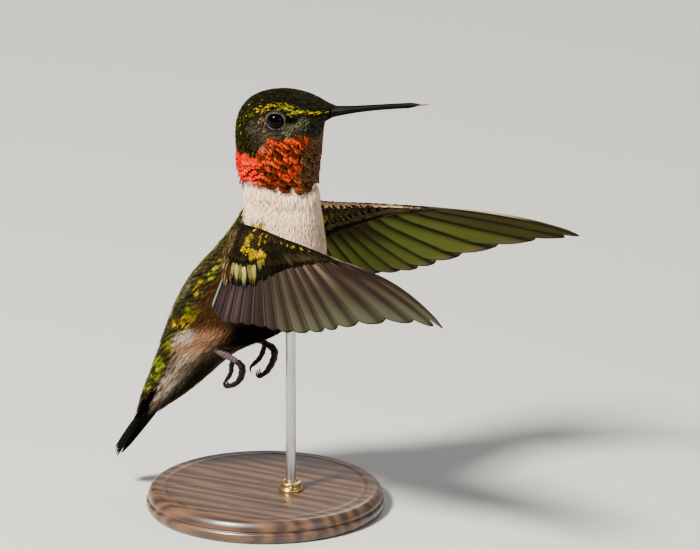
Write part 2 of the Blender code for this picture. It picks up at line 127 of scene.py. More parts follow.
# Colours of each coat: ground, edge, the edge's strength and the shine.
COAT_COLOURS = {
    "head": ("crown", "green", 0.03, 0.35),
    "gorget": ("ember", "fire", 0.25, 0.55),
    "collar": ("collar", "collar", 1.0, 0.0),
    "back": ("back", "slate", 0.28, 0.45),
    "flank": ("flank", "buff", 0.06, 0.0),
    # The belly's ground, shade, is painted shadow under the wing.
    "belly": ("shade", "smudge", 0.12, 0.0),
    "under_tail": ("under_tail", "collar", 0.12, 0.0),
}
# The share of the gorget's scales that are painted as lit, a painted reflection, as (angle from the back in
# degrees, share).
PAINTED_LIT_SCALES = ((26, 1.0), (80, 0.97), (92, 0.72), (118, 0.60), (140, 0.42), (150, 0.18), (160, 0.02),
              (180, 0.0))
# How the feathers' size grows from the bill back, as (station, share).
GRAIN = ((0, 0.50), (1.5, 0.62), (3.0, 0.82), (4.5, 0.95), (6.6, 1.10), (7.2, 1.0))

# Markings: angle from the back, station, half their reach in each, colour and strength.
MARKINGS = (
    (68, 1.2, 4.6, 0.7, "gold", 0.8),
    (64, 2.1, 4.7, 0.6, "gold", 0.78),
    (54, 2.8, 4.4, 0.5, "gold", 0.72),
    (46, 3.6, 6, 0.6, "gold", 0.45),
    (64, 2.1, 4.6, 0.8, "green", 0.45),
    (54, 2.9, 5.0, 0.6, "green", 0.45),
    (40, 4.4, 16, 0.7, "green", 0.06),
    (79, 2.6, 10, 0.36, "black", 1.0),
    (96, 2.0, 14, 0.5, "sage", 0.60),
    (92, 3.0, 9, 0.5, "sage", 0.60),
    (92, 1.0, 16, 0.45, "black", 0.6),
    (66, 4.3, 12, 0.5, "cheek", 0.9),
    (84, 4.1, 12, 0.9, "cheek", 0.9),
    (97, 3.1, 5, 0.35, "sage", 0.5),
    (47, 10.85, 7, 0.30, "gold", 0.92),
    (58, 10.3, 6, 0.24, "green", 0.65),
    (56, 12.05, 8, 0.36, "gold", 0.98),
    (42, 12.45, 7, 0.22, "gold", 0.75),
    (56, 11.7, 8, 0.2, "green", 0.55),
    (62, 12.7, 6, 0.2, "green", 0.6),
    (50, 13.5, 12, 0.35, "green", 0.95),
    (34, 14.35, 16, 0.25, "green", 0.95),
    (58, 14.8, 10, 0.6, "green", 0.98),
    (46, 15.4, 12, 0.3, "green", 0.75),
    (58, 9.8, 7, 0.35, "green", 0.6),
    (78, 8.75, 12, 0.35, "gold", 0.9),
    (93, 9.5, 12, 0.22, "gold", 0.5),
    (26, 10.3, 10, 0.9, "smudge", 0.45),
    (28, 11.2, 8, 0.4, "vent", 0.10),
    (95, 12.7, 20, 0.45, "buff", 0.7),
    (84, 13.5, 22, 0.4, "buff", 0.7),
    (68, 12.95, 11, 0.42, "vent", 1.0),
    (94, 15.1, 15, 1.3, "vent", 0.85),
    (82, 14.6, 9, 0.3, "smudge", 0.6),
    (104, 14.5, 9, 0.28, "smudge", 0.8),
    (90, 15.6, 7, 0.25, "smudge", 0.8),
    (101, 15.0, 7, 0.30, "smudge", 0.8),
    (98, 16.2, 9, 0.25, "smudge", 0.6),
    (128, 14.3, 18, 0.9, "smudge", 0.8),
    # Painted shade along the lower edge of the under tail coverts.
    (148, 15.3, 26, 1.6, "shade", 0.90),
    (66, 3.92, 6, 0.16, "buff", 0.40),
    (72, 3.05, 9, 0.22, "black", 0.9),
    # Painted shadow of the wing over the lower belly.
    (124, 12.35, 22, 0.85, "shade", 1.0),
    (150, 12.2, 30, 1.3, "shade", 1.0),
)

EYE_CENTRE = np.array((4.14, 4.45, 66.54))
EYE_AXIS = np.array((0.13, 0.985, 0.04))
LID_RADIUS = 1.76
PARTING = 3.4                  # how far feathers still turn round the eye, in lid radii

# The left wing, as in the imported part.
FRONT_EDGE = (
    (-7.0, (-2.6, 4.5, 48.7)), (-5.5, (-1.0, 5.4, 49.0)), (-2.5, (1.5, 6.8, 49.2)), (0.5, (3.7, 7.9, 49.3)),
    (2.0, (4.9, 8.6, 49.3)), (4.0, (6.8, 9.5, 49.2)), (6.0, (9.5, 10.7, 49.1)), (8.0, (13.4, 12.4, 48.9)),
    (9.0, (16.3, 13.7, 48.7)), (10.5, (21.3, 15.8, 48.3)),
)
FEATHER_TIPS = (
    (-7.0, (-4.9, 10.0, 39.0)), (-5.0, (-3.9, 11.0, 35.4)), (-4.0, (-2.6, 11.7, 34.4)),
    (-2.0, (1.5, 13.4, 34.8)), (0.0, (6.6, 15.3, 35.5)), (2.0, (12.0, 16.8, 35.8)),
    (4.0, (18.2, 17.8, 37.1)), (6.0, (24.6, 19.5, 39.4)), (8.0, (36.0, 23.2, 42.6)),
    (9.0, (40.9, 25.0, 43.3)), (10.5, (43.9, 26.4, 43.7)),
)
FEATHER_BOW = (
    (-7.0, (0.0, 0.2, 0.0)), (2.0, (-0.4, -0.3, -0.2)), (5.0, (-0.3, -0.4, -0.2)), (8.0, (0.0, -0.5, 0.2)),
    (10.5, (0.3, -0.8, 1.6)),
)
COVERT_LINE = ((-7.0, 0.62), (-4.0, 0.62), (-1.0, 0.58), (1.0, 0.46), (4.0, 0.34), (7.0, 0.25), (10.5, 0.10))
ARM_HALF_THICKNESS = ((-7.0, 0.9), (-4.0, 1.6), (2.0, 1.4), (6.0, 1.05), (10.5, 0.35))
ARM_COAT = 0.34                # depth of the coat on arm and hand
FIRST_SECONDARY = -5
LAST_PRIMARY = 10


# ---------------------------------------------------------------- settings

def colour_setting(name, about, value):
    """A colour that a user can change."""
    return FloatVectorProperty(name=name, description=about, default=value, size=3, min=0.0, max=1.0,
                               subtype="COLOR")


def length_setting(name, about, value):
    """A length, given in millimetres, that a user can change."""
    return FloatProperty(name=name, description=about, default=value * MM, min=0.0, precision=5,
                         subtype="DISTANCE", unit="LENGTH")


class PlumageSettings(bpy.types.PropertyGroup):
    """Sizes and colours of the small feathers."""

    crown: colour_setting("Crown", "Dark ground of the crown", (0.0046, 0.0044, 0.0034))
    # Green and gold are painted glints: the lights that the iridescent feathers catch, laid into their
    # colour.
    green: colour_setting("Green", "Yellow-green lights on nape and back", (0.235, 0.265, 0.012))
    gold: colour_setting("Gold", "Gold lights on brow, shoulder and back", (0.46, 0.31, 0))
    cheek: colour_setting("Cheek", "Streaked cheek behind and below the eye", (0.052, 0.043, 0.025))
    sage: colour_setting("Sage", "Grey-green front of the cheek", (0.098, 0.106, 0.062))
    black: colour_setting("Black", "Spot in front of the eye, and the chin", (0.0006, 0.0006, 0.0005))
    # The gorget's colours are painted reflection and painted shade of its iridescent scales: pink and fire
    # for lit scales, ember for unlit ones.
    pink: colour_setting("Gorget pink", "Rear corner of the gorget", (0.68, 0.002, 0))
    fire: colour_setting("Gorget fire", "Lit scales in the middle of the gorget", (0.82, 0.066, 0.009))
    ember: colour_setting("Gorget shade", "Unlit scales of the gorget", (0.022, 0.012, 0.0035))
    collar: colour_setting("Collar", "White of the collar and upper breast", (1, 0.75, 0.54))
    back: colour_setting("Back", "Olive ground of the back", (0.028, 0.023, 0.007))
    slate: colour_setting("Slate", "Blue-grey edges on the back", (0.055, 0.054, 0.016))
    flank: colour_setting("Flank", "Rufous brown of the flank", (0.04, 0.017, 0.0038))
    buff: colour_setting("Buff", "Buff edge of the flank", (0.54, 0.28, 0.14))
    vent: colour_setting("Vent", "Pale tuft of the vent and under tail coverts", (0.62, 0.5, 0.37))
    smudge: colour_setting("Smudge", "Brown centres of the under tail coverts", (0.09, 0.062, 0.028))
    # Painted shadow: this near black stands for the wing's shadow on the lower belly and flank, and for
    # shade along the under tail coverts' lower edge.
    shade: colour_setting("Belly", "Dusky olive of the lower belly", (0.003, 0.0026, 0.001))
    under_tail: colour_setting("Under tail", "Brown-grey under tail coverts", (0.08, 0.062, 0.04))
    wing_coverts: colour_setting("Wing coverts", "Olive-brown ground", (0.006, 0.0045, 0.002))
    density: FloatProperty(name="Density", description="How closely the feathers stand", default=1.0,
                           min=0.3, max=1.5)
    thickness: length_setting("Feather thickness", "Thickness of a small feather", 0.045)


class WingSettings(bpy.types.PropertyGroup):
    """Sizes and colours of the wings' and the tail's long feathers."""

    primary: colour_setting("Primaries", "Inner vane of the primaries", (0.029, 0.0225, 0.013))
    secondary: colour_setting("Secondaries", "Inner vane of the secondaries", (0.0135, 0.0085, 0.008))
    outer_vane: colour_setting("Outer vane", "Dark outer vane beside the shaft", (0.0105, 0.0058, 0.0036))
    bloom: colour_setting("Bloom", "Pale grey bloom near the coverts", (0.15, 0.095, 0.072))
    # Painted backlight: the olive underside stands for light through the thin vanes.
    backlit_underside: colour_setting("Underside", "Olive underside of the wing", (0.078, 0.095, 0.016))
    tail: colour_setting("Tail", "Black of the tail feathers", (0.0004, 0.0005, 0.0004))
    vane_thickness: length_setting("Vane thickness", "Thickness of a long feather", 0.07)
    shaft_radius: length_setting("Shaft radius", "Radius of a long feather's shaft", 0.15)
    stack: length_setting("Stacking", "Rise of a feather's outer edge over its neighbour", 0.11)


class HeadSettings(bpy.types.PropertyGroup):
    """Sizes and colours of the eyes and the bill."""

    eye_radius: length_setting("Eye radius", "Radius of the eyeball", 1.56)
    opening: length_setting("Lid opening", "Radius of the opening between the lids", 1.32)
    eye: colour_setting("Eye", "Colour of the eye", (0.0004, 0.0003, 0.0003))
    lid: colour_setting("Lid", "Beaded rim of the lids", (0.3, 0.25, 0.235))
    bill: colour_setting("Bill", "Horn of the bill", (0.0012, 0.0012, 0.0016))
    bill_base: colour_setting("Bill base", "Brownish base of the bill", (0.0035, 0.0025, 0.002))
    tongue: colour_setting("Tongue", "Tip of the tongue", (0.11, 0.065, 0.035))


class FootSettings(bpy.types.PropertyGroup):
    """Sizes and colours of the feet."""

    shank_radius: length_setting("Shank radius", "Radius of the bare leg", 0.44)
    skin: colour_setting("Foot skin", "Dark skin between the scutes", (0.0012, 0.0009, 0.0009))
    # The scutes' colour is a painted highlight on their crests.
    scute: colour_setting("Scutes", "Light on the crests of the scutes", (0.16, 0.108, 0.115))
    claw: colour_setting("Claws", "Lavender grey of the claws", (0.008, 0.007, 0.008))


class StandSettings(bpy.types.PropertyGroup):
    """Sizes and colours of the display stand."""

    base_radius: length_setting("Base radius", "Radius of the turned base", 19.0)
    base_height: length_setting("Base height", "Height of the turned base", 3.6)
    rod_radius: length_setting("Rod radius", "Radius of the rod", 0.8)
    wood: colour_setting("Wood", "Light grain of the base", (0.115, 0.055, 0.026))
    wood_dark: colour_setting("Dark wood", "Dark grain of the base", (0.030, 0.014, 0.008))
    steel: colour_setting("Steel", "Rod", (0.52, 0.52, 0.53))
    brass: colour_setting("Brass", "Collar", (0.62, 0.42, 0.16))


class StageSettings(bpy.types.PropertyGroup):
    """Camera, lights and floor."""

    azimuth: FloatProperty(name="Azimuth", description="Camera's turn from the bird's right to its front",
                           default=math.radians(25.0), subtype="ANGLE")
    elevation: FloatProperty(name="Elevation", description="Camera's height angle",
                             default=math.radians(18.0), subtype="ANGLE")
    frame_width: length_setting("Frame width", "Width of the view at the bird", 111.1)
    distance: length_setting("Distance", "Distance of the camera", 3000.0)
    key: FloatProperty(name="Key light", description="Power of the key light", default=22.0, min=0.0,
                       unit="POWER")
    fill: FloatProperty(name="Fill light", description="Power of the fill light", default=2.0, min=0.0,
                        unit="POWER")
    floor: colour_setting("Floor", "Pale floor", (0.50, 0.49, 0.47))


def settings(group):
    """One of the scene's groups of settings, such as bird_plumage."""
    return getattr(bpy.context.scene, group)


def colour(group, name):
    """A colour setting as an array."""
    return np.array(getattr(settings(group), name)[:])


def length(group, name):
    """A length setting in millimetres."""
    return getattr(settings(group), name) / MM


def feather_colour(name):
    """A colour of the small feathers as an array."""
    return colour("bird_plumage", name)


def toward(start, end, amount):
    """The way from start to end, as far as amount: start + amount (end - start), with one amount
    for each row."""
    return start + np.asarray(amount)[..., None] * (end - start)


# ---------------------------------------------------------------- surfaces

def unit(vectors):
    """Vectors of length 1 in the same directions."""
    return vectors / np.maximum(np.linalg.norm(vectors, axis=-1, keepdims=True), 1e-9)


def apart(first, second):
    """The distance between two points, row by row."""
    return np.linalg.norm(first - second, axis=-1)


def ease(x, full):
    """Rises from 0 to 1 at full as a quarter of a sine wave, and stays there."""
    return np.sin(np.minimum(x / full, 1.0) * math.pi / 2.0)


def circle(count):
    """Angles spread evenly over a turn."""
    return np.linspace(0.0, TURN, count, endpoint=False)


def smooth(values, low, high):
    """0 below low, 1 above high, and 3x^2 - 2x^3 between them."""
    x = np.clip((values - low) / (high - low), 0.0, 1.0)
    return x * x * (3.0 - 2.0 * x)


def read(table, places):
    """A table of (knot, value) rows read by straight lines."""
    rows = np.asarray(table, float)
    return np.interp(places, rows[:, 0], rows[:, 1])


def spline(knots, values, places):
    """Natural cubic spline through values at knots, read at an array of places."""
    knots = np.asarray(knots, float)
    values = np.asarray(values, float).reshape(len(knots), -1)
    shape = np.shape(places)
    places = np.ravel(places).astype(float)
    count = len(knots)
    step = np.diff(knots)
    matrix = np.eye(count)
    right = np.zeros_like(values)
    slopes = np.diff(values, axis=0) / step[:, None]
    inner = np.arange(1, count - 1)
    matrix[inner, inner - 1] = step[:-1]
    matrix[inner, inner] = 2.0 * (step[:-1] + step[1:])
    matrix[inner, inner + 1] = step[1:]
    right[inner] = 6.0 * np.diff(slopes, axis=0)
    bend = np.linalg.solve(matrix, right)
    i = np.clip(np.searchsorted(knots, places) - 1, 0, count - 2)
    width = step[i][:, None]
    before = (knots[i + 1] - places)[:, None]
    after = (places - knots[i])[:, None]
    found = ((bend[i] * before ** 3 + bend[i + 1] * after ** 3) / (6.0 * width)
             + (values[i] / width - bend[i] * width / 6.0) * before
             + (values[i + 1] / width - bend[i + 1] * width / 6.0) * after)
    return found.reshape(shape + (values.shape[1],))


def along(table, places):
    """A table of (knot, value) rows read by a spline."""
    return spline([row[0] for row in table], [row[1] for row in table], places)


def body_outline(place, angle):
    """The bird's outline: the middle of the back and underside points, plus half the way from
    one to the other times the cosine of the angle, plus the half width times its sine."""
    rows = spline(np.arange(len(STATIONS)), STATIONS, place)
    middle = (rows[..., 0:2] + rows[..., 2:4]) / 2.0
    depth = (rows[..., 0:2] - rows[..., 2:4]) / 2.0
    flat = middle + depth * np.cos(angle)[..., None]
    return np.stack((flat[..., 0], rows[..., 4] * np.sin(angle), flat[..., 1]), axis=-1)


def body_surface(place, angle, height):
    """The body's skin, which is the outline less the coat's depth, raised by height."""
    around = body_outline(place, angle + NUDGE) - body_outline(place, angle - NUDGE)
    ahead = body_outline(place + NUDGE, angle) - body_outline(place - NUDGE, angle)
    outward = unit(np.cross(around, ahead))
    return body_outline(place, angle) + outward * (height - read(COAT_DEPTH, place))[..., None]


def wing_points(feather, place):
    """The left wing's middle surface: a straight line from the front edge to the feather's tip,
    plus the bow times 4x(1 - x)."""
    feather, place = np.broadcast_arrays(np.asarray(feather, float), np.asarray(place, float))
    x = place[..., None]
    front = along(FRONT_EDGE, feather)
    tip = along(FEATHER_TIPS, feather)
    return front + (tip - front) * x + along(FEATHER_BOW, feather) * 4.0 * x * (1.0 - x)


def wing_normals(feather):
    """Unit vectors square to the left wing at half length, towards its upper side."""
    half = np.full(np.shape(feather), 0.5)
    across = wing_points(feather + NUDGE, half) - wing_points(feather - NUDGE, half)
    down = wing_points(feather, half + NUDGE) - wing_points(feather, half - NUDGE)
    return unit(np.cross(across, down))


def arm_surface(side, face):
    """The skin of one side of an arm and hand, as a function of the share of the way to the
    coverts' end, the feather and the height above the skin. Its section is thickest a third of
    the way back: 2.6 sqrt(x)(1 - x) times the half thickness, plus 0.3 sqrt(x), less the coat."""
    def surface(share, feather, height):
        root = np.sqrt(np.clip(share, 0.0, None))
        middle = wing_points(feather, share * along(COVERT_LINE, feather)[..., 0])
        flesh = 2.6 * root * np.clip(1.0 - share, 0.0, None) * along(ARM_HALF_THICKNESS, feather)[..., 0]
        rise = np.maximum(flesh + 0.3 * np.minimum(root, 1.0) - ARM_COAT, 0.0) + height
        points = middle + wing_normals(feather) * (face * rise)[..., None]
        return points * (1.0, side, 1.0)
    return surface


def scatter(surface, spacing, low, high, cells=(180, 120)):
    """Roots spread evenly by area over a surface. The share of the area before a root in the
    first parameter is its number over the count, and in the second its number times the golden
    ratio, less the whole part, so that neighbours stagger like the scales of a cone."""
    first = np.linspace(low[0], high[0], cells[0] + 1)
    second = np.linspace(low[1], high[1], cells[1] + 1)
    grid = np.meshgrid(first, second, indexing="ij")
    points = surface(grid[0], grid[1], np.zeros_like(grid[0]))
    corner = points[:-1, :-1]
    area = np.linalg.norm(np.cross(points[1:, :-1] - corner, points[:-1, 1:] - corner), axis=-1)
    centre = [(part[:-1, :-1] + part[1:, 1:]) / 2.0 for part in grid]
    weight = area / spacing(*centre) ** 2
    count = int(weight.sum())
    order = np.arange(count) + 0.5
    rows = np.concatenate(((0.0,), np.cumsum(weight.sum(axis=1)))) / weight.sum()
    place = np.interp(order / count, rows, first)
    shares = np.concatenate((np.zeros((cells[0], 1)), np.cumsum(weight, axis=1)), axis=1)
    shares /= shares[:, -1:]
    row = np.clip(np.searchsorted(first, place) - 1, 0, cells[0] - 1)
    wanted = (order * GOLDEN) % 1.0
    column = np.clip((shares[row] < wanted[:, None]).sum(axis=1) - 1, 0, cells[1] - 1)
    below, above = shares[row, column], shares[row, column + 1]
    inside = (wanted - below) / np.maximum(above - below, 1e-12)
    return place, second[column] + inside * (second[1] - second[0])


# ---------------------------------------------------------------- meshes

def signed_volumes(points, quads):
    """Six times the volume inside each closed shape of a stack that shares its quads."""
    p = points - points.mean(axis=1, keepdims=True)
    a, b, c, d = (p[:, quads[:, k]] for k in range(4))
    return (np.cross(a, b) * c).sum(axis=-1).sum(axis=1) + (np.cross(a, c) * d).sum(axis=-1).sum(axis=1)


def stacked_faces(points, quads):
    """The quads of every shape of a stack, turned round where they face inwards."""
    count, size = points.shape[:2]
    faces = quads[None] + (np.arange(count) * size)[:, None, None]
    inward = signed_volumes(points, quads) < 0.0
    faces[inward] = faces[inward][:, :, ::-1]
    return faces.reshape(-1, 4)


def new_piece(name, shape, material, tint=None, maps=(), colours=(), values=()):
    """An object at the origin from a shape, which is points in millimetres and then arrays of
    faces, with per-point UV maps, colours and numbers given as (name, array) pairs, and the colours
    of the usual tint given alone."""
    points, *faces = shape
    if tint is not None:
        colours = (("tint", tint), *colours)
    mesh = bpy.data.meshes.new(name)
    corners = np.concatenate([block.ravel() for block in faces]).astype(np.int32)
    sizes = np.concatenate([np.full(len(block), block.shape[1]) for block in faces])
    mesh.vertices.add(len(points))
    mesh.vertices.foreach_set("co", (points * MM).astype(np.float32).ravel())
    mesh.loops.add(len(corners))
    mesh.loops.foreach_set("vertex_index", corners)
    mesh.polygons.add(len(sizes))
    mesh.polygons.foreach_set("loop_start", np.concatenate(((0,), np.cumsum(sizes)[:-1])).astype(np.int32))
    mesh.update(calc_edges=True)
    for label, places in maps:
        layer = mesh.uv_layers.new(name=label)
        layer.uv.foreach_set("vector", places[corners].astype(np.float32).ravel())
    for label, rows in colours:
        solid = np.concatenate((rows, np.ones((len(rows), 1))), axis=1).astype(np.float32)
        mesh.attributes.new(label, "FLOAT_COLOR", "POINT").data.foreach_set("color", solid.ravel())
    for label, rows in values:
        mesh.attributes.new(label, "FLOAT", "POINT").data.foreach_set("value", rows.astype(np.float32))
    mesh.shade_smooth()
    mesh.materials.append(material)
    piece = bpy.data.objects.new(name, mesh)
    bpy.context.scene.collection.objects.link(piece)
    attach(piece, "root")
    return piece


class Leaf:
    """A thin closed leaf. Its points are (s, t): s runs from root to tip and t from -1 to 1 across.
    An upper and a lower sheet share their rim, and sheet is 1, -1 or 0. In the Vane map a point
    lies at (t / 2 + 1/2, s)."""

    def __init__(self, rows, columns):
        row, column = np.meshgrid(np.arange(rows), np.arange(columns), indexing="ij")
        inner = (row > 0) & (row < rows - 1) & (column > 0) & (column < columns - 1)
        upper = np.arange(rows * columns).reshape(rows, columns)
        lower = upper.copy()
        lower[inner] = rows * columns + np.arange(inner.sum())
        self.column = np.concatenate((column.ravel(), column[inner]))
        self.s = np.concatenate((row.ravel(), row[inner])) / (rows - 1)
        self.t = 2.0 * self.column / (columns - 1) - 1.0
        self.sheet = np.concatenate((inner.ravel().astype(float), -np.ones(inner.sum())))
        self.vane = np.stack((self.t * 0.5 + 0.5, self.s), axis=1)
        self.columns = columns
        self.quads = np.concatenate((self.sheet_quads(upper), self.sheet_quads(lower)[:, ::-1]))

    @staticmethod
    def sheet_quads(index):
        """The quads of a sheet from its grid of point numbers."""
        corners = index[:-1, :-1], index[:-1, 1:], index[1:, 1:], index[1:, :-1]
        return np.stack([corner.ravel() for corner in corners], axis=1)


def closed_rings(rings):
    """Points, quads and triangles of a closed surface through rings of points: neighbours in a
    ring and between rings are joined, and a fan to its mean closes each end."""
    count, size = rings.shape[:2]
    index = np.arange(count * size).reshape(count, size)
    ahead = np.roll(index, -1, axis=1)
    quads = np.stack((index[:-1], ahead[:-1], ahead[1:], index[1:]), axis=-1).reshape(-1, 4)
    start = np.full(size, count * size)
    tris = np.concatenate((np.stack((ahead[0], index[0], start), axis=1),
                           np.stack((index[-1], ahead[-1], start + 1), axis=1)))
    points = np.concatenate((rings.reshape(-1, 3), rings[:1].mean(axis=1), rings[-1:].mean(axis=1)))
    p = points - points.mean(axis=0)
    whole = np.concatenate((tris, quads[:, :3], quads[:, [0, 2, 3]]))
    if (np.cross(p[whole[:, 0]], p[whole[:, 1]]) * p[whole[:, 2]]).sum() < 0.0:
        quads, tris = quads[:, ::-1], tris[:, ::-1]
    return points, quads, tris


def ring_values(values, size):
    """One number per ring, spread over the points that closed_rings makes."""
    return np.concatenate((np.repeat(values, size), values[:1], values[-1:]))


def joined(shapes):
    """Several (points, quads, tris) as one."""
    points, quads, tris, start = [], [], [], 0
    for shape in shapes:
        points.append(shape[0])
        quads.append(shape[1] + start)
        tris.append(shape[2] + start)
        start += len(shape[0])
    return np.concatenate(points), np.concatenate(quads), np.concatenate(tris)


def tube_rings(line, widths, heights, sides, sideways=(0.0, 1.0, 0.0)):
    """Ellipses along a line of points: line + width cos(a) across + height sin(a) upward, where
    upward is square to the line and to across."""
    line = np.asarray(line, float)
    ahead = unit(np.gradient(line, axis=0))
    upward = unit(np.cross(ahead, np.broadcast_to(sideways, ahead.shape)))
    across = unit(np.cross(upward, ahead))
    turn = circle(sides)[None, :, None]
    return (line[:, None] + np.asarray(widths)[:, None, None] * np.cos(turn) * across[:, None]
            + np.asarray(heights)[:, None, None] * np.sin(turn) * upward[:, None])


def turned_rings(profile, sides, centre=(0.0, 0.0)):
    """A profile of (radius, z) rows carried round an upright axis."""
    turn = circle(sides)
    radius, level = np.asarray(profile, float).T
    return np.stack((centre[0] + radius[:, None] * np.cos(turn), centre[1] + radius[:, None] * np.sin(turn),
                     np.broadcast_to(level[:, None], (len(level), sides))), axis=-1)


def ball_stack(centres, radii, rows=5, columns=8):
    """Small balls as points, quads and triangles, each a grid of latitude and longitude closed by
    a fan at both poles."""
    lat = np.linspace(-0.5, 0.5, rows + 2)[1:-1] * math.pi
    points, quads, tris = closed_rings(turned_rings(np.stack((np.cos(lat), np.sin(lat)), axis=1), columns))
    points[-2:] = ((0.0, 0.0, -1.0), (0.0, 0.0, 1.0))
    every = np.asarray(centres)[:, None] + points[None] * np.asarray(radii)[:, None, None]
    shift = (np.arange(len(centres)) * len(points))[:, None, None]
    return every.reshape(-1, 3), (quads[None] + shift).reshape(-1, 4), (tris[None] + shift).reshape(-1, 3)


# ---------------------------------------------------------------- finishes

def operation(name, swapped=False):
    """A method of Value that adds the Math node of one operation."""
    def method(value, other=0.0):
        first, second = (other, value) if swapped else (value, other)
        return value.finish.node("ShaderNodeMath", {"operation": name}, {0: first, 1: second})
    return method


class Value:
    """The output of a shader node, which takes part in sums as a number would."""

    def __init__(self, finish, socket):
        self.finish, self.socket = finish, socket

    __add__, __radd__ = operation("ADD"), operation("ADD", swapped=True)
    __sub__, __rsub__ = operation("SUBTRACT"), operation("SUBTRACT", swapped=True)
    __mul__, __rmul__ = operation("MULTIPLY"), operation("MULTIPLY", swapped=True)
    sine, size = operation("SINE"), operation("ABSOLUTE")

    def between(self, low, high):
        """0 below low, 1 above high and a smooth step between."""
        return self.finish.node("ShaderNodeMapRange", {"interpolation_type": "SMOOTHSTEP"},
                                {"Value": self, "From Min": low, "From Max": high})


class Finish:
    """A material with a Principled surface, and the ways to add nodes behind it."""

    def __init__(self, name):
        material = bpy.data.materials.new(name)
        material.use_nodes = True
        self.tree = material.node_tree
        self.surface = self.tree.nodes["Principled BSDF"]

    def node(self, kind, choices=None, sockets=None, out=0):
        """Adds one node: its settings first, then the values or links of its sockets."""
        made = self.tree.nodes.new(kind)
        for key, value in (choices or {}).items():
            setattr(made, key, value)
        for key, value in (sockets or {}).items():
            self.feed(made.inputs[key], value)
        return Value(self, made.outputs[out])

    def feed(self, socket, value):
        """Links a Value to a socket, or sets the socket to a number, a colour or a vector."""
        if isinstance(value, Value):
            self.tree.links.new(value.socket, socket)
        elif isinstance(value, (tuple, list, np.ndarray)) and socket.type == "RGBA":
            socket.default_value = (*value, 1.0)
        else:
            socket.default_value = value

    def set(self, **values):
        """Feeds the surface's sockets, whose names are written with _ for a space."""
        for key, value in values.items():
            self.feed(self.surface.inputs[key.replace("_", " ")], value)

    def attribute(self, name, out="Fac"):
        """A named number or, with out as Color, a named colour of the mesh's points."""
        return self.node("ShaderNodeAttribute", {"attribute_name": name}, out=out)

    def mix(self, factor, first, second):
        """A colour between two colours."""
        return self.node("ShaderNodeMix", {"data_type": "RGBA"}, {0: factor, 6: first, 7: second}, out=2)

    def shade(self, tint, factor):
        """A colour times a number."""
        return self.node("ShaderNodeVectorMath", {"operation": "SCALE"}, {0: tint, "Scale": factor})

    def painted(self, light):
        """Feeds the base colour with the point colours times a number."""
        self.set(Base_Color=self.shade(self.attribute("tint", "Color"), light))

    def where(self, scale=(1.0, 1.0, 1.0), turn=(0.0, 0.0, 0.0)):
        """Object coordinates, turned and scaled by a Mapping node."""
        place = self.node("ShaderNodeTexCoord", out="Object")
        return self.node("ShaderNodeMapping", {}, {"Vector": place, "Rotation": turn, "Scale": scale})

    def noise(self, scale, detail=3.0, roughness=0.55, vector=None):
        """Noise from 0 to 1, its scale in cells to a metre."""
        return self.node("ShaderNodeTexNoise", {}, {"Vector": vector or self.where(), "Scale": scale,
                                                    "Detail": detail, "Roughness": roughness})

    def map_places(self, name):
        """The two coordinates of a UV map as numbers."""
        found = self.node("ShaderNodeUVMap", {"uv_map": name})
        split = self.node("ShaderNodeSeparateXYZ", {}, {0: found})
        return split, Value(self, split.socket.node.outputs[1])

    def relief(self, height, depth, strength=1.0):
        """Bumps whose full height is depth millimetres, fed to the surface's normal."""
        self.set(Normal=self.node("ShaderNodeBump", {}, {"Height": height, "Distance": depth * MM,
                                                         "Strength": strength}, out="Normal"))


def barbs(finish, spacing, slant):
    """Fine ribs that leave the shaft on both sides and slant to the tip: the sine of the length
    along the leaf less the slant times the distance from the shaft, both in millimetres. Returns
    the places across and along the leaf, the distance from its shaft and the ribs."""
    t, s = finish.map_places("Vane")
    reach = finish.attribute("reach")
    span = finish.attribute("span")
    off = (t - 0.5).size() * 2.0
    wave = ((s * reach - off * span * (0.5 * slant)) * (TURN / spacing)).sine()
    return t, s, off, wave * 0.5 + 0.5


def feather_finish(finish):
    """Small feathers: a tint with a rim of another colour round the tip, with painted shade towards the root
    where they are crisp, streaked by barbs that fan to the tip, with painted glints in streaky flecks where
    they shine, and metallic by their shine."""
    finish.set(Specular_IOR_Level=0.012)
    t, s, off, ribs = barbs(finish, 0.30, 2.1)
    tint, rim = (finish.attribute(own, "Color") for own in ("tint", "rim"))
    shine, soft = (finish.attribute(own) for own in ("shine", "soft"))
    patch = finish.noise(900.0, 2.0)
    streak = finish.node("ShaderNodeCombineXYZ", {}, {0: t * 7.0, 1: s * 1.3, 2: patch * 14.0})
    fleck = finish.noise(1.0, 1.0, vector=streak).between(0.36, 0.56)
    edge = (s + off * off * off * 0.22 + (patch - 0.5) * 0.3).between(0.58, 0.96)
    # Painted shade between overlapping feathers: darker towards the root, less so on soft feathers.
    depth = 1.0 - (1.0 - s.between(0.0, 0.65)) * (0.62 - soft * 0.60)
    light = depth * (1.0 + (ribs - 0.5) * (0.20 + shine * 1.9)) * (patch * 0.30 + 0.85)
    # Painted glints: a shiny feather is dark but for streaky flecks.
    light = light * (1.0 - shine * 1.6 * (1.0 - fleck))
    finish.set(Base_Color=finish.shade(finish.mix(edge, tint, rim), light), Metallic=shine * 0.5,
               Roughness=0.80 - shine * 0.38 + ribs * 0.08)
    finish.relief(ribs * s.between(0.05, 0.4), 0.03, 0.5)


def strand_finish(finish):
    """Fine barb ends: the tint, lighter towards the point, so that the darker root is painted shade."""
    finish.set(Roughness=0.8, Specular_IOR_Level=0.015)
    _, s, _, ribs = barbs(finish, 0.5, 0.4)
    tint, rim = (finish.attribute(own, "Color") for own in ("tint", "rim"))
    # Darker towards the root: painted shade within the coat.
    light = s * 0.3 + ribs * 0.1 + 0.7
    finish.set(Base_Color=finish.shade(finish.mix(s.between(0.3, 1.0), tint, rim), light))


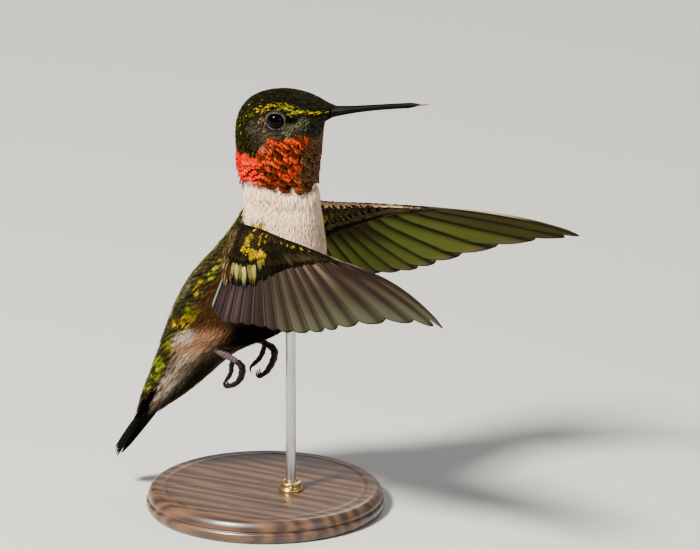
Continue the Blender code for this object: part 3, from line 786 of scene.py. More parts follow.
def long_feather_finish(finish):
    """Flight and tail feathers: point colours under slanting barbs, with a silky gloss and fine
    streaks of wear."""
    finish.set(Specular_IOR_Level=0.025)
    *_, ribs = barbs(finish, 0.34, 1.3)
    fine = finish.noise(2600.0, 2.0)
    broad = finish.noise(300.0)
    finish.painted((ribs * 0.50 + 0.75) * (broad * 0.36 + 0.82) * (fine * 0.16 + 0.92))
    finish.set(Roughness=0.50 + ribs * 0.10 - broad * 0.10, Metallic=finish.attribute("shine") * 0.5)
    finish.relief(ribs + fine * 0.3, 0.03, 0.5)


def quill_finish(finish):
    """Shafts: dark horn, paler towards the root."""
    finish.set(Specular_IOR_Level=0.12)
    grain = finish.noise(1500.0, 2.0)
    finish.painted(grain * 0.5 + 0.75)
    finish.set(Roughness=0.45 + grain * 0.15)


def skin_finish(finish):
    """Skin under the coat: the markings' colours, dulled, with down-like mottling."""
    finish.set(Roughness=0.9, Specular_IOR_Level=0.05)
    down = finish.noise(1800.0)
    finish.painted(down * 0.7 + 0.35)
    finish.relief(down, 0.08, 0.7)


def eye_finish(finish):
    """Eye: dark brown iris round a black pupil, glossy as if wet."""
    finish.set(Roughness=0.06, Specular_IOR_Level=0.06)
    iris = finish.attribute("iris")
    fleck = finish.noise(2500.0, 2.0)
    dark = colour("bird_head", "eye")
    brown = dark * 1.6 + (0.0012, 0.0003, 0.0)
    finish.set(Base_Color=finish.mix(iris * (fleck * 0.6 + 0.4), dark * 0.5, brown))


def bead_finish(finish):
    """Lids: grey beaded skin, darker between the beads."""
    finish.set(Specular_IOR_Level=0.06)
    fine = finish.noise(3500.0, 2.0)
    finish.painted(fine * 0.8 + 0.55)
    finish.set(Roughness=0.50 + fine * 0.2)
    finish.relief(fine, 0.03, 0.6)


def horn_finish(finish, roughness):
    """Bill and tongue: smooth horn with faint lengthwise grain and fine pits."""
    finish.set(Specular_IOR_Level=0.05)
    grain = finish.noise(420.0, 4.0, 0.6, finish.where(scale=(1.0, 7.0, 7.0), turn=(0.0, -0.2, 0.0)))
    pits = finish.noise(2800.0, 2.0)
    finish.painted(grain * 0.7 + pits * 0.3 + 0.5)
    finish.set(Roughness=roughness + grain * 0.18 + pits * 0.06)
    finish.relief(grain + pits * 0.5, 0.03, 0.35)


def scaly_finish(finish):
    """Feet: small plates whose crests are painted lighter, a painted highlight."""
    finish.set(Specular_IOR_Level=0.07)
    plates = finish.node("ShaderNodeTexVoronoi", {"feature": "DISTANCE_TO_EDGE"},
                         {"Vector": finish.where(), "Scale": 3200.0})
    crest = plates.between(0.02, 0.22)
    finish.painted(crest * 0.6 + 0.55)
    finish.set(Roughness=0.50 - crest * 0.16)
    finish.relief(crest, 0.03, 0.6)


def wood_finish(finish):
    """Waxed wood: growth rings from a wave bent by noise, fine pores along the grain."""
    finish.set(Coat_Weight=0.35, Coat_Roughness=0.18, Specular_IOR_Level=0.5)
    along_grain = finish.where(scale=(1.0, 6.0, 6.0), turn=(0.0, 0.05, 0.35))
    bend = finish.noise(60.0, 4.0, 0.6, along_grain)
    rings = finish.node("ShaderNodeTexWave", {"wave_type": "BANDS", "bands_direction": "Y"},
                        {"Vector": along_grain, "Scale": 22.0, "Distortion": 7.0, "Detail": 3.0,
                         "Detail Scale": 1.6}, out="Fac")
    pores = finish.noise(900.0, 3.0, 0.6, finish.where(scale=(0.12, 1.0, 1.0), turn=(0.0, 0.0, 0.35)))
    dark, pale = colour("bird_stand", "wood_dark"), colour("bird_stand", "wood")
    grain = (rings * 0.55 + bend * 0.6 - 0.1).between(0.1, 0.9)
    pore = pores.between(0.56, 0.70)
    finish.set(Base_Color=finish.mix(pore * 0.7, finish.mix(grain, dark, pale), dark * 0.5),
               Roughness=0.34 + pore * 0.25 + bend * 0.08)
    finish.relief(grain * 0.3 - pore, 0.05, 0.4)


def metal_finish(finish, key, roughness, brushing):
    """Polished metal with brushed lines round or along it, and a faint cloud of handling."""
    finish.set(Metallic=1.0)
    lines = finish.noise(900.0, 3.0, 0.6, finish.where(scale=brushing))
    cloud = finish.noise(220.0)
    tint = colour("bird_stand", key)
    finish.set(Base_Color=finish.mix(cloud.between(0.35, 0.75) * 0.5, tint, tint * 0.72),
               Roughness=roughness + lines * 0.12 + cloud * 0.08)
    finish.relief(lines, 0.01, 0.35)


def floor_finish(finish):
    """Pale matt floor with a hardly visible cloud."""
    finish.set(Roughness=0.85, Specular_IOR_Level=0.2)
    cloud = finish.noise(6.0)
    tint = colour("bird_stage", "floor")
    finish.set(Base_Color=finish.mix(cloud, tint * 0.985, tint))


def finished(name, make, *options):
    """The material of that name, whose nodes one of the finishes makes at its first use."""
    if name not in bpy.data.materials:
        make(Finish(name), *options)
    return bpy.data.materials[name]


# ---------------------------------------------------------------- plumage of the body

def from_back(angle):
    """Degrees from the back line, 0 to 180, the same on both sides."""
    return np.degrees(np.abs((angle + math.pi) % TURN - math.pi))


def coat_of(place, turn):
    """Which coat each place wears, as an index into COATS, from the lines that part them."""
    throat = (turn > NAPE_ANGLE) & (place > read(GORGET_TOP, turn))
    coat = np.full(np.shape(place), COAT["flank"])
    for name, where in (
            ("belly", turn > BELLY_ANGLE),
            ("under_tail", (place > UNDER_TAIL_START) & (turn >= read(BACK_EDGE, place))),
            ("back", turn < read(BACK_EDGE, place)),
            ("collar", throat & (place >= read(GORGET_END, turn)) & (place < read(COLLAR_END, turn))),
            ("gorget", throat & (place < read(GORGET_END, turn))),
            ("head", ~throat & (place < HEAD_END))):
        coat[where] = COAT[name]
    return coat


def plumage(place, angle, rng):
    """Tint, rim colour, shine and coat of the bird at each place: the coat's colours, some of them painted
    shade and painted reflection, then the markings one over another, each fading as a bell curve of its
    distance."""
    turn = from_back(angle)
    coat = coat_of(place, turn)
    sage, black, pink, fire, olive, gold, vent, smudge, shade = (feather_colour(key) for key in (
        "sage", "black", "pink", "fire", "green", "gold", "vent", "smudge", "shade"))
    own, edge = (np.stack([feather_colour(row[k]) for row in COAT_COLOURS.values()]) for k in (0, 1))
    weight, gleam = (np.array([row[k] for row in COAT_COLOURS.values()]) for k in (2, 3))
    tint = own[coat]
    rim = toward(tint, edge[coat], weight[coat])
    shine = gleam[coat]
    chance = rng.random(len(place))

    # The nape and hindcrown are greener than the crown, and the throat's front is black.
    on_head = coat == COAT["head"]
    forehead = np.exp(-((place - 1.9) / 0.7) ** 2) * (1.0 - smooth(turn, 12.0, 24.0))
    nape = smooth(place, 3.2, 5.2)
    fleck = on_head * (np.maximum(nape, forehead) * (chance < 0.18 * nape + 0.10 * forehead))
    nape = on_head * nape
    moss = 0.32 * olive + 0.14 * gold
    tint = toward(tint, moss, 0.02 * nape + 0.10 * fleck)
    rim = toward(rim, moss, 0.05 * nape + 0.40 * fleck)
    chin = on_head * smooth(turn, 92.0, 118.0)
    tint, rim = toward(tint, black * 1.6, chin), toward(rim, sage * 0.6, chin)

    # The middle of the back shines green.
    ridge = (coat == COAT["back"]) * (1.0 - smooth(turn, 14.0, 34.0))
    tint = toward(tint, olive, 0.10 * ridge)
    rim = toward(rim, olive * (0.75, 0.95, 1.0), 0.30 * ridge)

    # The flank is painted near black towards the belly, a painted shadow under the wing, and the breast
    # greys below the collar, partly its own grey and partly painted shade towards the underside.
    sides = coat == COAT["flank"]
    painted_flank_shadow = sides * smooth(turn, 96.0, 128.0) * smooth(place, 9.4, 11.0)
    tint, rim = toward(tint, shade * 1.6, painted_flank_shadow), toward(rim, smudge * 0.6, painted_flank_shadow)
    breast = ((sides | (coat == COAT["belly"])) * smooth(turn, 110.0, 150.0)
              * (1.0 - smooth(place, 10.2, 11.8)))
    tint, rim = toward(tint, vent * 0.85, breast), toward(rim, vent, breast)
    grey = ((coat == COAT["collar"]) * smooth(turn, 118.0, 160.0) * smooth(place, 7.6, 9.6))[:, None]
    tint, rim = tint * (1.0 - 0.34 * grey), rim * (1.0 - 0.28 * grey)

    # Painted lit scales of the gorget, their colour and glow a painted reflection of the iridescence: nearly
    # all at its rear corner, fewer towards the throat's front.
    throat = coat == COAT["gorget"]
    odds = read(PAINTED_LIT_SCALES, turn) * (1.0 - 0.80 * smooth(place, 5.7, 6.3) * smooth(turn, 88.0, 96.0))
    painted_lit = (throat & (chance < odds)).astype(float)
    rear = (1.0 - smooth(turn - 6.0 * (place - 6.2), 79.0, 90.0))[:, None]
    count = (len(place), 1)
    flame = fire + rear * rng.uniform(0.6, 1.0, count) * (pink - fire)
    painted_glow = np.maximum(rng.uniform(0.05, 0.60, count), rear * rng.uniform(0.45, 1.05, count))
    tint, rim = toward(tint, flame * painted_glow, painted_lit), toward(rim, flame * (1.0 + 0.1 * rear), painted_lit)
    shine = shine * (1.0 - 0.6 * (painted_lit * rear[:, 0]))
    # Painted shade: the gorget's front is painted dark olive, as its scales look where they catch no light.
    front = throat * smooth(turn, 126.0, 150.0)
    tint = toward(tint, np.array((0.040, 0.042, 0.024)), 0.75 * front)
    rim = toward(rim, np.array((0.16, 0.085, 0.028)), 0.70 * front)

    tint, rim, shine = marked(tint, rim, shine, turn, place, MARKINGS, rng)
    # A black wedge opens between the green back and the pale under tail coverts.
    low = place - 15.2
    wedge = smooth(low, -0.1, 0.1) * smooth(turn, 70.0 - 12.0 * low, 74.0 - 12.0 * low)
    wedge = wedge * (1.0 - smooth(turn, 70.0 + 20.0 * low, 76.0 + 20.0 * low))
    wedge = np.maximum(wedge, smooth(place, 16.65, 16.8))
    return toward(tint, black, wedge), toward(rim, black, wedge), shine * (1.0 - wedge), coat


def marked(tint, rim, shine, first, second, markings, rng):
    """Tint, rim and shine with markings laid over one another, each fading as a bell curve of its distance.
    Gold and green markings are painted glints: a gleam lights single feathers, so its strength is their
    chance, and each lit feather gets its own painted brightness."""
    for middle, level, half_first, half_second, key, strength in markings:
        away = ((first - middle) / half_first) ** 2 + ((second - level) / half_second) ** 2
        amount = strength * np.exp(-0.7 * away ** 2)
        painted_glint = key in ("gold", "green")
        light = 0.50 + 0.70 * rng.random(len(first))
        cover = (rng.random(len(first)) < amount).astype(float) if painted_glint else amount
        shown = feather_colour(key) * (light[:, None] if painted_glint else 1.0)
        tint, rim = toward(tint, 0.60 * shown, cover), toward(rim, shown, cover)
        shine = np.where(cover > 0.5, 0.48 if painted_glint else 0.1 * shine, shine)
    return tint, rim, shine


def parted_lie(place, angle, whole):
    """How the lie of the feathers turns round the eye, as water parts round a pile, how much of a
    feather's whole length is left before the lids, and the distance from the eye. At distance r
    and in direction a from the lie, the stream is (1 - (R/r)^2 cos 2a, -(R/r)^2 sin 2a)."""
    root = body_surface(place, angle, np.zeros_like(place))
    side = np.where(root[:, 1:2] > 0.0, 1.0, -1.0)
    centre = EYE_CENTRE * np.concatenate((np.ones_like(side), side, np.ones_like(side)), axis=1)
    lift = body_outline(place, angle)
    ahead = unit(body_outline(place + NUDGE, angle) - lift)
    across = unit(body_outline(place, angle + NUDGE) - lift)
    away = root - centre
    forward, sideways = (away * ahead).sum(axis=1), (away * across).sum(axis=1)
    distance = np.hypot(forward, sideways) + 1e-6
    turned = np.arctan2(sideways, forward)
    pull = np.minimum((LID_RADIUS / distance) ** 2, 1.0)
    bend = np.arctan2(-pull * np.sin(2.0 * turned), 1.0 - pull * np.cos(2.0 * turned) + 1e-6)
    near = distance < PARTING * LID_RADIUS
    before = near & (forward < 0.0) & (np.abs(sideways) < LID_RADIUS + 0.3)
    room = np.hypot(np.maximum(np.abs(forward) - 0.25, 0.0), sideways) - LID_RADIUS + 0.12
    shorter = np.where(before, np.clip(room * 1.15, 0.35, whole), whole)
    return np.where(near, bend * 0.85, 0.0), shorter, distance


def lay(surface, first, second, leaf, size, turn, rise, tooth, rng, arch=0.16, base=-0.05, waist=0.5,
        point=0.0, flat=1.8):
    """Points of leaves laid over a surface from their roots at (first, second). A point at (s, t)
    lies s times the length along the surface and t times half the width across it, both turned
    by the leaf's own angle. Its height is the base, plus rise times 1 - (1 - s)^flat, so that tips
    lie flat one over another, plus arch times 1 - t^2. The width grows from the waist at the
    root, and the tip is rounded and toothed."""
    extent, wide, turn, rise = (np.broadcast_to(part, first.shape)[:, None] for part in (*size, turn, rise))
    none = np.zeros_like(first)
    step = 0.02
    per_first, per_second = (
        np.maximum(apart(surface(first + one, second + two, none), surface(first - one, second - two, none))
                   / (2.0 * step), 0.05)[:, None] for one, two in ((step, 0.0), (0.0, step)))
    s, t = leaf.s[None], leaf.t[None]
    teeth = rng.uniform(0.35, 1.0, (len(first), leaf.columns)) * (np.arange(leaf.columns) % 2)
    cut = teeth[:, leaf.column] * tooth + 0.16 * t ** 2
    reach = s * (1.0 - cut * smooth(s, 0.55, 1.0))
    shape = (waist + (1.0 - waist) * ease(s, 0.62)) * (1.0 - point * s ** 2)
    run = extent * reach
    off = 0.5 * wide * t * shape
    forward = run * np.cos(turn) - off * np.sin(turn)
    sideways = run * np.sin(turn) + off * np.cos(turn)
    height = (base + rise * (1.0 - (1.0 - reach.clip(0.0, 1.0)) ** flat)
              + arch * wide * (1.0 - t ** 2) * ease(s * 1.2, 1.0) * 0.5
              + leaf.sheet[None] * length("bird_plumage", "thickness") / 2.0)
    return surface(first[:, None] + forward / per_first, second[:, None] + sideways / per_second, height)


def leaf_piece(name, leaf, batches, material):
    """One object from batches of (points, size, tint, rim, shine, soft, root), with the maps and
    attributes that the finishes read. In OFBake each leaf is a patch PATCH across at its root."""
    points, size, tint, rim, shine, soft, root = (np.concatenate(parts) for parts in zip(*batches))
    count, each = points.shape[:2]

    def per_leaf(rows):
        return np.repeat(rows, each, axis=0)

    patch = np.stack((leaf.t * 0.5, leaf.s), axis=1) * PATCH
    new_piece(
        name, (points.reshape(-1, 3), stacked_faces(points, leaf.quads)), material,
        maps=(("Vane", np.tile(leaf.vane, (count, 1))),
              ("OFBake", (root[:, None] + patch[None]).reshape(-1, 2))),
        tint=per_leaf(tint), colours=(("rim", per_leaf(rim)),),
        values=(("shine", per_leaf(shine)), ("soft", per_leaf(soft)), ("reach", per_leaf(size[:, 0])),
                ("span", per_leaf(size[:, 1]))))


FEATHER = Leaf(5, 7)
SOFT_FEATHER = Leaf(4, 5)
STRAND = Leaf(4, 3)
SHOWN_PART = 0.65              # share of a feather's length at which its outer part shows
MAP_EDGE, MAP_SIZE = 0.01, 0.97


def body_root_places(place, angle):
    """Where roots lie on the skin's own unwrap: station across, angle up, inside 0 to 1."""
    turn = (angle + math.pi) % TURN / TURN
    return np.stack((MAP_EDGE + MAP_SIZE * place / len(STATIONS), MAP_EDGE + MAP_SIZE * turn), axis=1)


def grain(place, turn):
    """How large the feathers are: smallest on the face, and growing down the gorget."""
    size = read(GRAIN, place)
    below = place - read(GORGET_TOP, turn)
    throat = 0.52 + 0.58 * smooth(below, 0.1, 2.2) + 0.2 * (1.0 - smooth(turn, 60.0, 84.0))
    return np.where(coat_of(place, turn) == COAT["gorget"], throat, size)


def body_roots(strands):
    """Roots over the body at the spacing of each coat's feathers, closer on the face, or of its
    strands, which a coat without any takes as 9 mm."""
    column = 6 if strands else 0
    spacings = np.array([row[column] if row[column] > 0.0 else 9.0 for row in COATS.values()])
    density = settings("bird_plumage").density

    def spacing(place, angle):
        turn = from_back(angle)
        return spacings[coat_of(place, turn)] / density * (1.0 if strands else grain(place, turn))

    return scatter(body_surface, spacing, (ROOTS_START, 0.0), (ROOTS_END, TURN))


def body_leaves(coats, strands):
    """Every feather, or every strand, of some coats: their leaf and what leaf_piece needs. Their
    coat and colours are those of the place where their outer part shows."""
    rng = np.random.default_rng(SEED + 2 * COAT[coats[0]] + strands)
    rows = np.array(list(COATS.values()))
    place, angle = body_roots(strands)
    here = rows[coat_of(place, from_back(angle))]
    ahead = apart(body_outline(place + NUDGE, angle), body_outline(place - NUDGE, angle))
    reach = here[:, 5] if strands else here[:, 1] * grain(place, from_back(angle))
    shown = place + SHOWN_PART * reach * 2.0 * NUDGE / ahead
    wobble = rng.normal(0.0, 0.10, len(place))
    there = coat_of(shown + wobble * 0.8, from_back(angle + wobble * 0.25))
    keep = np.isin(there, [COAT[coat] for coat in coats])
    keep &= (here[:, 6] > 0.0) | (not strands)
    keep &= shown < np.where(from_back(angle) < 60.0, BODY_END, ROOTS_END)
    place, angle, shown, wobble = place[keep], angle[keep], shown[keep], wobble[keep]
    tint, rim, shine, coat = plumage(shown + wobble * 0.8, angle + wobble * 0.25, rng)
    _, extent, wide, tooth, spread, strand, _, narrow, soft = rows[coat].T
    turn = from_back(angle)
    size = grain(place, turn)
    extent = (strand if strands else extent * size) * rng.uniform(0.85, 1.12, len(place))
    wide = (narrow if strands else wide * size) * rng.uniform(0.88, 1.1, len(place))
    bend, extent, distance = parted_lie(place, angle, extent)
    bright = np.exp(rng.normal(0.0, 1.0, len(place)) * spread * (1.6 if strands else 1.0))[:, None]
    rise = read(COAT_RISE, place) * rng.uniform(0.90, 1.06, len(place))
    under = (coat == COAT["collar"]) * (1.0 - smooth(place - read(GORGET_END, turn), -0.05, 0.3))
    corner = (coat == COAT["gorget"]) * (1.0 - smooth(turn, 66.0, 92.0))
    rise = rise * (1.0 - 0.6 * under) + 0.35 * corner * smooth(place, 4.8, 6.0)
    lean = bend + rng.normal(0.0, 0.16 if strands else 0.09, len(place))
    if strands:
        leaf, form = STRAND, {"arch": 0.05, "waist": 0.8, "point": 0.8, "flat": 4.0}
        rise, tooth = rise + 0.05, 0.0
    else:
        leaf, tooth = SOFT_FEATHER if soft.mean() > 0.5 else FEATHER, tooth[:, None]
        loose = soft[:, None]
        form = {"arch": 0.045 - 0.02 * loose, "point": 0.5 * loose, "waist": 0.5 + 0.3 * loose}
    points = lay(body_surface, place, angle, leaf, (extent, wide), lean, rise, tooth, rng, **form)
    clear = (distance > LID_RADIUS - 0.08) & (extent > 0.2)
    size = np.stack((extent, wide), axis=1)
    return leaf, [part[clear] for part in (points, size, tint * bright, rim * bright, shine, soft,
                                           body_root_places(place, angle))]


# ---------------------------------------------------------------- wings and tail

LONG_LEAF = Leaf(34, 15)
# Markings of the wing's coverts above and beneath: feather, share of the way to the coverts'
# end, half their reach in each, colour and strength.
WING_MARKINGS = {
    1: (
        (-1.6, 0.02, 0.7, 0.10, "gold", 0.68),
        (-1.4, 0.14, 0.7, 0.10, "gold", 0.66),
        (-1.5, 0.28, 0.8, 0.10, "gold", 0.72),
        (-1.4, 0.42, 1.1, 0.09, "gold", 0.80),
        (-0.7, 0.50, 0.9, 0.09, "gold", 0.85),
        (0.8, 0.60, 0.9, 0.09, "gold", 0.85),
        (1.5, 0.24, 0.9, 0.14, "gold", 0.34),
        (-0.6, 0.20, 2.4, 0.20, "smudge", 0.25),
        (3.0, 0.16, 3.0, 0.10, "smudge", 0.20),
        (5.2, 0.25, 0.5, 0.07, "gold", 0.55),
        (6.4, 0.30, 0.5, 0.07, "gold", 0.75),
        (7.4, 0.28, 0.6, 0.08, "gold", 0.90),
        (-2.9, 0.62, 0.8, 0.10, "gold", 0.45),
        (6.6, 0.90, 2.2, 0.14, "smudge", 0.35),
        (6.4, 0.80, 1.6, 0.12, "green", 0.12),
        (-6.2, 0.50, 1.0, 0.70, "smudge", 0.30),
        (-5.0, 0.95, 1.3, 0.35, "smudge", 0.30),
    ),
    -1: (
        (2.0, 0.02, 12.0, 0.06, "vent", 0.60),
        (2.0, 0.40, 3.4, 0.16, "green", 0.36),
        (3.0, 0.35, 3.0, 0.16, "smudge", 0.20),
    ),
}


def covert_colours(feather, share, face, rng):
    """Tint, rim and shine of a wing's small feathers: the olive-brown ground, far lighter beneath as painted
    backlight, then the markings.
    """
    # Beneath, the ground is ten times lighter: painted light through the backlit wing.
    ground = feather_colour("wing_coverts") * (1.1 if face > 0 else 10.5)
    tint = np.tile(ground, (len(feather), 1))
    rim = tint + 0.06 * (feather_colour("smudge") * 2.0 - tint)
    return marked(tint, rim, np.full(len(feather), 0.35), feather, share, WING_MARKINGS[face], rng)


# Rows of coverts: innermost and outermost feather and the step between them, where the coverts
# start and end as shares of the way to the coverts' line, width as a share of the feathers'
# pitch, and rise.
COVERT_ROWS = (((-6.5, 10.3, 0.5), 0.42, 1.0, 0.8, 0.06), ((-6.4, 10.3, 0.5), 0.30, 0.78, 0.8, 0.14))
PRIMARY_COVERTS = ((1.7, 9.6, 0.62), 0.24, 0.98, 0.42, 0.24)
MEDIAN_COVERTS = ((-4.6, 1.9, 0.5), 0.30, 0.64, 0.60, 0.30)
# Where the lesser coverts end, as (feather, share of the way).
LESSER_END = ((-7, 0.50), (1.0, 0.46), (2.5, 0.36), (10, 0.40))
# The pale streaks among the inner greater coverts: feather, brightness and end.
STREAKS = np.array(((-3.4, 0.5, 0.96), (-2.9, 1.0, 0.99), (-2.2, 0.45, 1.0), (-1.7, 1.1, 1.04),
                    (-1.0, 0.6, 1.07), (-0.35, 1.0, 1.08), (0.45, 0.45, 0.90)))
SCAPULARS = 330                # hair-like feathers over the wing's root
LEADING_SCALES = 240           # tan scales in a row beneath the front edge
# Those rows on the left and on the right wing: share of the way back and brightness.
LEADING_ROWS = {1: ((0.05, 2.4), (0.004, 3.2)), -1: ((0.16, 1.2),)}


def wing_coverts(side, face):
    """Small feathers of one side of one wing: rows of greater, median and primary coverts, each
    over its own long feather, then lesser coverts that grow towards the coverts' line. Above, the
    inner greater coverts are pale streaks and hair-like scapulars hang over the wing's root.
    Beneath, tan scales line the front edge."""
    rng = np.random.default_rng(SEED + 31 * (side + 2) + 7 * (face + 2))
    surface = arm_surface(side, face)
    batches = []

    def add(share, feather, extent, wide, rise, tooth, own=None, look=0.6, **form):
        none = np.zeros_like(share)
        shown = share + look * extent / apart(surface(share + 0.5, feather, none),
                                              surface(share - 0.5, feather, none))
        tint, rim, shine = covert_colours(feather, shown, face, rng) if own is None else own
        bright = np.exp(rng.normal(0.0, 0.22, len(share)))[:, None]
        size = np.stack((np.broadcast_to(extent, share.shape), np.broadcast_to(wide, share.shape)), axis=1)
        turn = rng.normal(0.0, 0.05, len(share))
        points = lay(surface, share, feather, FEATHER, (size[:, 0], size[:, 1]), turn, rise, tooth, rng,
                     **{"arch": 0.08, "base": -0.02, **form})
        place = 0.02 + np.stack((0.95 * np.clip(share, 0.0, 1.0), 0.95 * (feather + 7.0) / 17.5), axis=1)
        batches.append((points, size, tint * bright, rim * bright, shine, np.full(len(share), 0.2), place))

    def row(numbers, start, end, fill, rise, **options):
        feather = np.asarray(numbers, float) + rng.normal(0.0, 0.05, len(numbers))
        share = start + rng.normal(0.0, 0.012, len(feather))
        line = along(COVERT_LINE, feather)[:, 0]
        end = end + rng.normal(0.0, 0.02, len(feather))
        extent = apart(wing_points(feather, line * end), wing_points(feather, line * start))
        pitch = apart(wing_points(feather + 0.5, line * end), wing_points(feather - 0.5, line * end))
        add(share, feather, extent, pitch * fill, rise, 0.08, **options)

    for numbers, *form in COVERT_ROWS:
        row(np.arange(*numbers), *form)
    if face > 0:
        row(np.arange(*PRIMARY_COVERTS[0]), *PRIMARY_COVERTS[1:], look=0.9)
        pale = feather_colour("vent") * (0.50, 0.53, 0.18) * STREAKS[:, 1:2]
        edge = pale * 0.22
        edge[3] = feather_colour("slate") * (0.5, 1.5, 2.2)
        row(STREAKS[:, 0], 0.42, STREAKS[:, 2], 0.52, 0.26, point=0.12,
            own=(pale, edge, np.full(len(pale), 0.35)))
        row(np.arange(*MEDIAN_COVERTS[0]), *MEDIAN_COVERTS[1:], look=0.8)
    front = 0.015 if side > 0 or face > 0 else 0.07
    share, feather = scatter(surface, lambda s, f: 0.38 + 0.28 * s, (front, -6.8), (0.56, 10.2), (60, 160))
    keep = share < read(LESSER_END, feather)
    share, feather = share[keep], feather[keep]
    grow = 0.75 + 0.75 * share
    extent = 1.45 * grow * rng.uniform(0.8, 1.1, len(share))
    add(share, feather, extent, 0.56 * grow * rng.uniform(0.7, 1.15, len(share)), 0.26, 0.16)
    if face > 0:
        feather = -6.9 + 2.2 * rng.random(SCAPULARS) ** 0.8
        share = rng.uniform(0.02, 0.72, SCAPULARS)
        feather = feather + 1.5 * smooth(share, 0.35, 0.8) * rng.random(SCAPULARS)
        brown = feather_colour("smudge") * (0.75, 0.70, 0.70)
        shade = np.exp(rng.normal(0.0, 0.7, SCAPULARS))[:, None]
        add(share, feather, rng.uniform(2.4, 4.2, SCAPULARS), 0.34, rng.uniform(0.15, 0.45, SCAPULARS), 0.0,
            point=0.7, own=(brown * 0.45 * shade, brown * 1.35 * shade, np.zeros(SCAPULARS)))
    else:
        feather = np.linspace(-6.8, 10.2, LEADING_SCALES)
        tan = np.tile(feather_colour("vent") * (0.50, 0.38, 0.26), (LEADING_SCALES, 1))
        for share, bright in LEADING_ROWS[side]:
            add(np.full(LEADING_SCALES, share), feather, 0.80, 0.55, 0.14, 0.0,
                own=(tan * bright, tan * 1.4 * bright, np.zeros(LEADING_SCALES)))
    return batches


def flight_colours(side, number, off, place, lower):
    """Point colours of the long feathers. Upper side: a dark band over the shaft and the outer vane that
    fades into a paler inner vane, rosy by the coverts and olive at the primaries' tips, with a painted
    highlight along the secondaries' outer edges and a painted lilac sheen on the secondaries. Underside:
    olive, which is painted backlight through the thin vanes, smoky on the outer primaries, pale at the tips
    and, on the left wing, with a tan front edge."""
    secondary, primary_vane, dark, bloom, olive = (colour("bird_wing", key) for key in (
        "secondary", "primary", "outer_vane", "bloom", "backlit_underside"))
    primary = smooth(number, -0.5, 3.5)
    inner = toward(secondary, primary_vane, primary)
    inner = inner * (0.75 + 0.55 * smooth(-off, 0.10, 0.55))[..., None]
    root = 1.0 - smooth(place, 0.26, 0.62)
    inner = inner * (1.0 - 0.42 * root * (1.0 - smooth(number, 2.0, 5.0)))[..., None]
    inner = toward(inner, bloom, root * (0.08 + 0.46 * smooth(number, 4.5, 7.0)))
    root = (1.0 - smooth(place, 0.30, 0.72)) * smooth(number, 2.5, 5.0)
    inner = toward(inner, dark, 0.80 * root * (1.0 - smooth(-off, 0.20, 0.42)))
    tip = smooth(place, 0.62, 0.98) * smooth(number, 0.5, 3.5)
    inner = toward(inner, olive * (0.64, 0.62, 2.2), tip * 0.55)
    dark_root = 0.94 * smooth(number, 6.9, 8.2) * (1.0 - smooth(place, 0.36, 0.66))
    inner = toward(inner, dark, dark_root)
    band = smooth(off, -0.20, 0.05) * (1.0 - 0.55 * smooth(off, 0.08, 0.38))
    upper = toward(inner, dark, band * (0.97 - 0.25 * tip))
    # Painted highlight: a thin pale line along the secondaries' outer edges.
    painted_glint = (1.0 - 0.8 * primary) * np.exp(-((off - 0.31) / 0.04) ** 2) * smooth(place, 0.3, 0.5)
    upper = toward(upper, secondary * (5.0, 6.5, 7.5), 0.50 * painted_glint)
    # Painted lilac sheen near the tips of the middle secondaries.
    lilac_sheen = 0.5 * np.exp(-((number + 2.6) / 1.3) ** 2 - ((place - 0.78) / 0.22) ** 2) * (1.0 - band)
    upper = toward(upper, bloom * (0.85, 0.80, 1.3), 0.45 * lilac_sheen)
    innermost = (number < -4.5) * smooth(-off, 0.30, 0.42)
    upper = toward(upper, np.array((0.10, 0.17, 0.14)), innermost)
    below = olive * (0.80 + 0.35 * smooth(-off, 0.2, 0.8) * smooth(6.5 - number, 0.0, 5.0))[..., None]
    below = toward(below, bloom * 0.8, smooth(place, 0.88, 1.0) * 0.7)
    spread = 0.17 + 0.22 * (1.0 - smooth(place, 0.35, 0.9))
    below = below * (1.0 - 0.88 * np.exp(-((off - 0.04) / spread) ** 2))[..., None]
    below = toward(below, dark * 1.5, 0.8 * (1.0 - smooth(place, 0.40, 0.66)) * (number < 5.5))
    below = toward(below, dark * 1.5, smooth(number, 7.4, 9.4) * 0.75)
    leading = (side > 0) * (number > 9.5) * smooth(off, 0.06, 0.20) * (1.0 - smooth(place, 0.42, 0.72))
    below = toward(below, np.array((0.46, 0.36, 0.23)), leading)
    return np.where(lower[..., None], below, upper)


INNER_VANE = 0.97              # reach of a vane from its shaft, in feathers
OUTER_VANE = 0.38
FIRST_INNER_VANE = 0.62        # of the innermost secondary
LAST_OUTER_VANE = 0.42         # of the outermost primary
VANE_START = 0.62              # where vanes begin, as a share of the way to the coverts' line
SHAFT_START = 0.60
# How far a long feather's tip draws back at its sides, as (feather, share of its length).
TIP_LOBES = ((-5, 0.034), (2, 0.038), (6, 0.085), (8, 0.105), (9, 0.10), (10, 0.15))


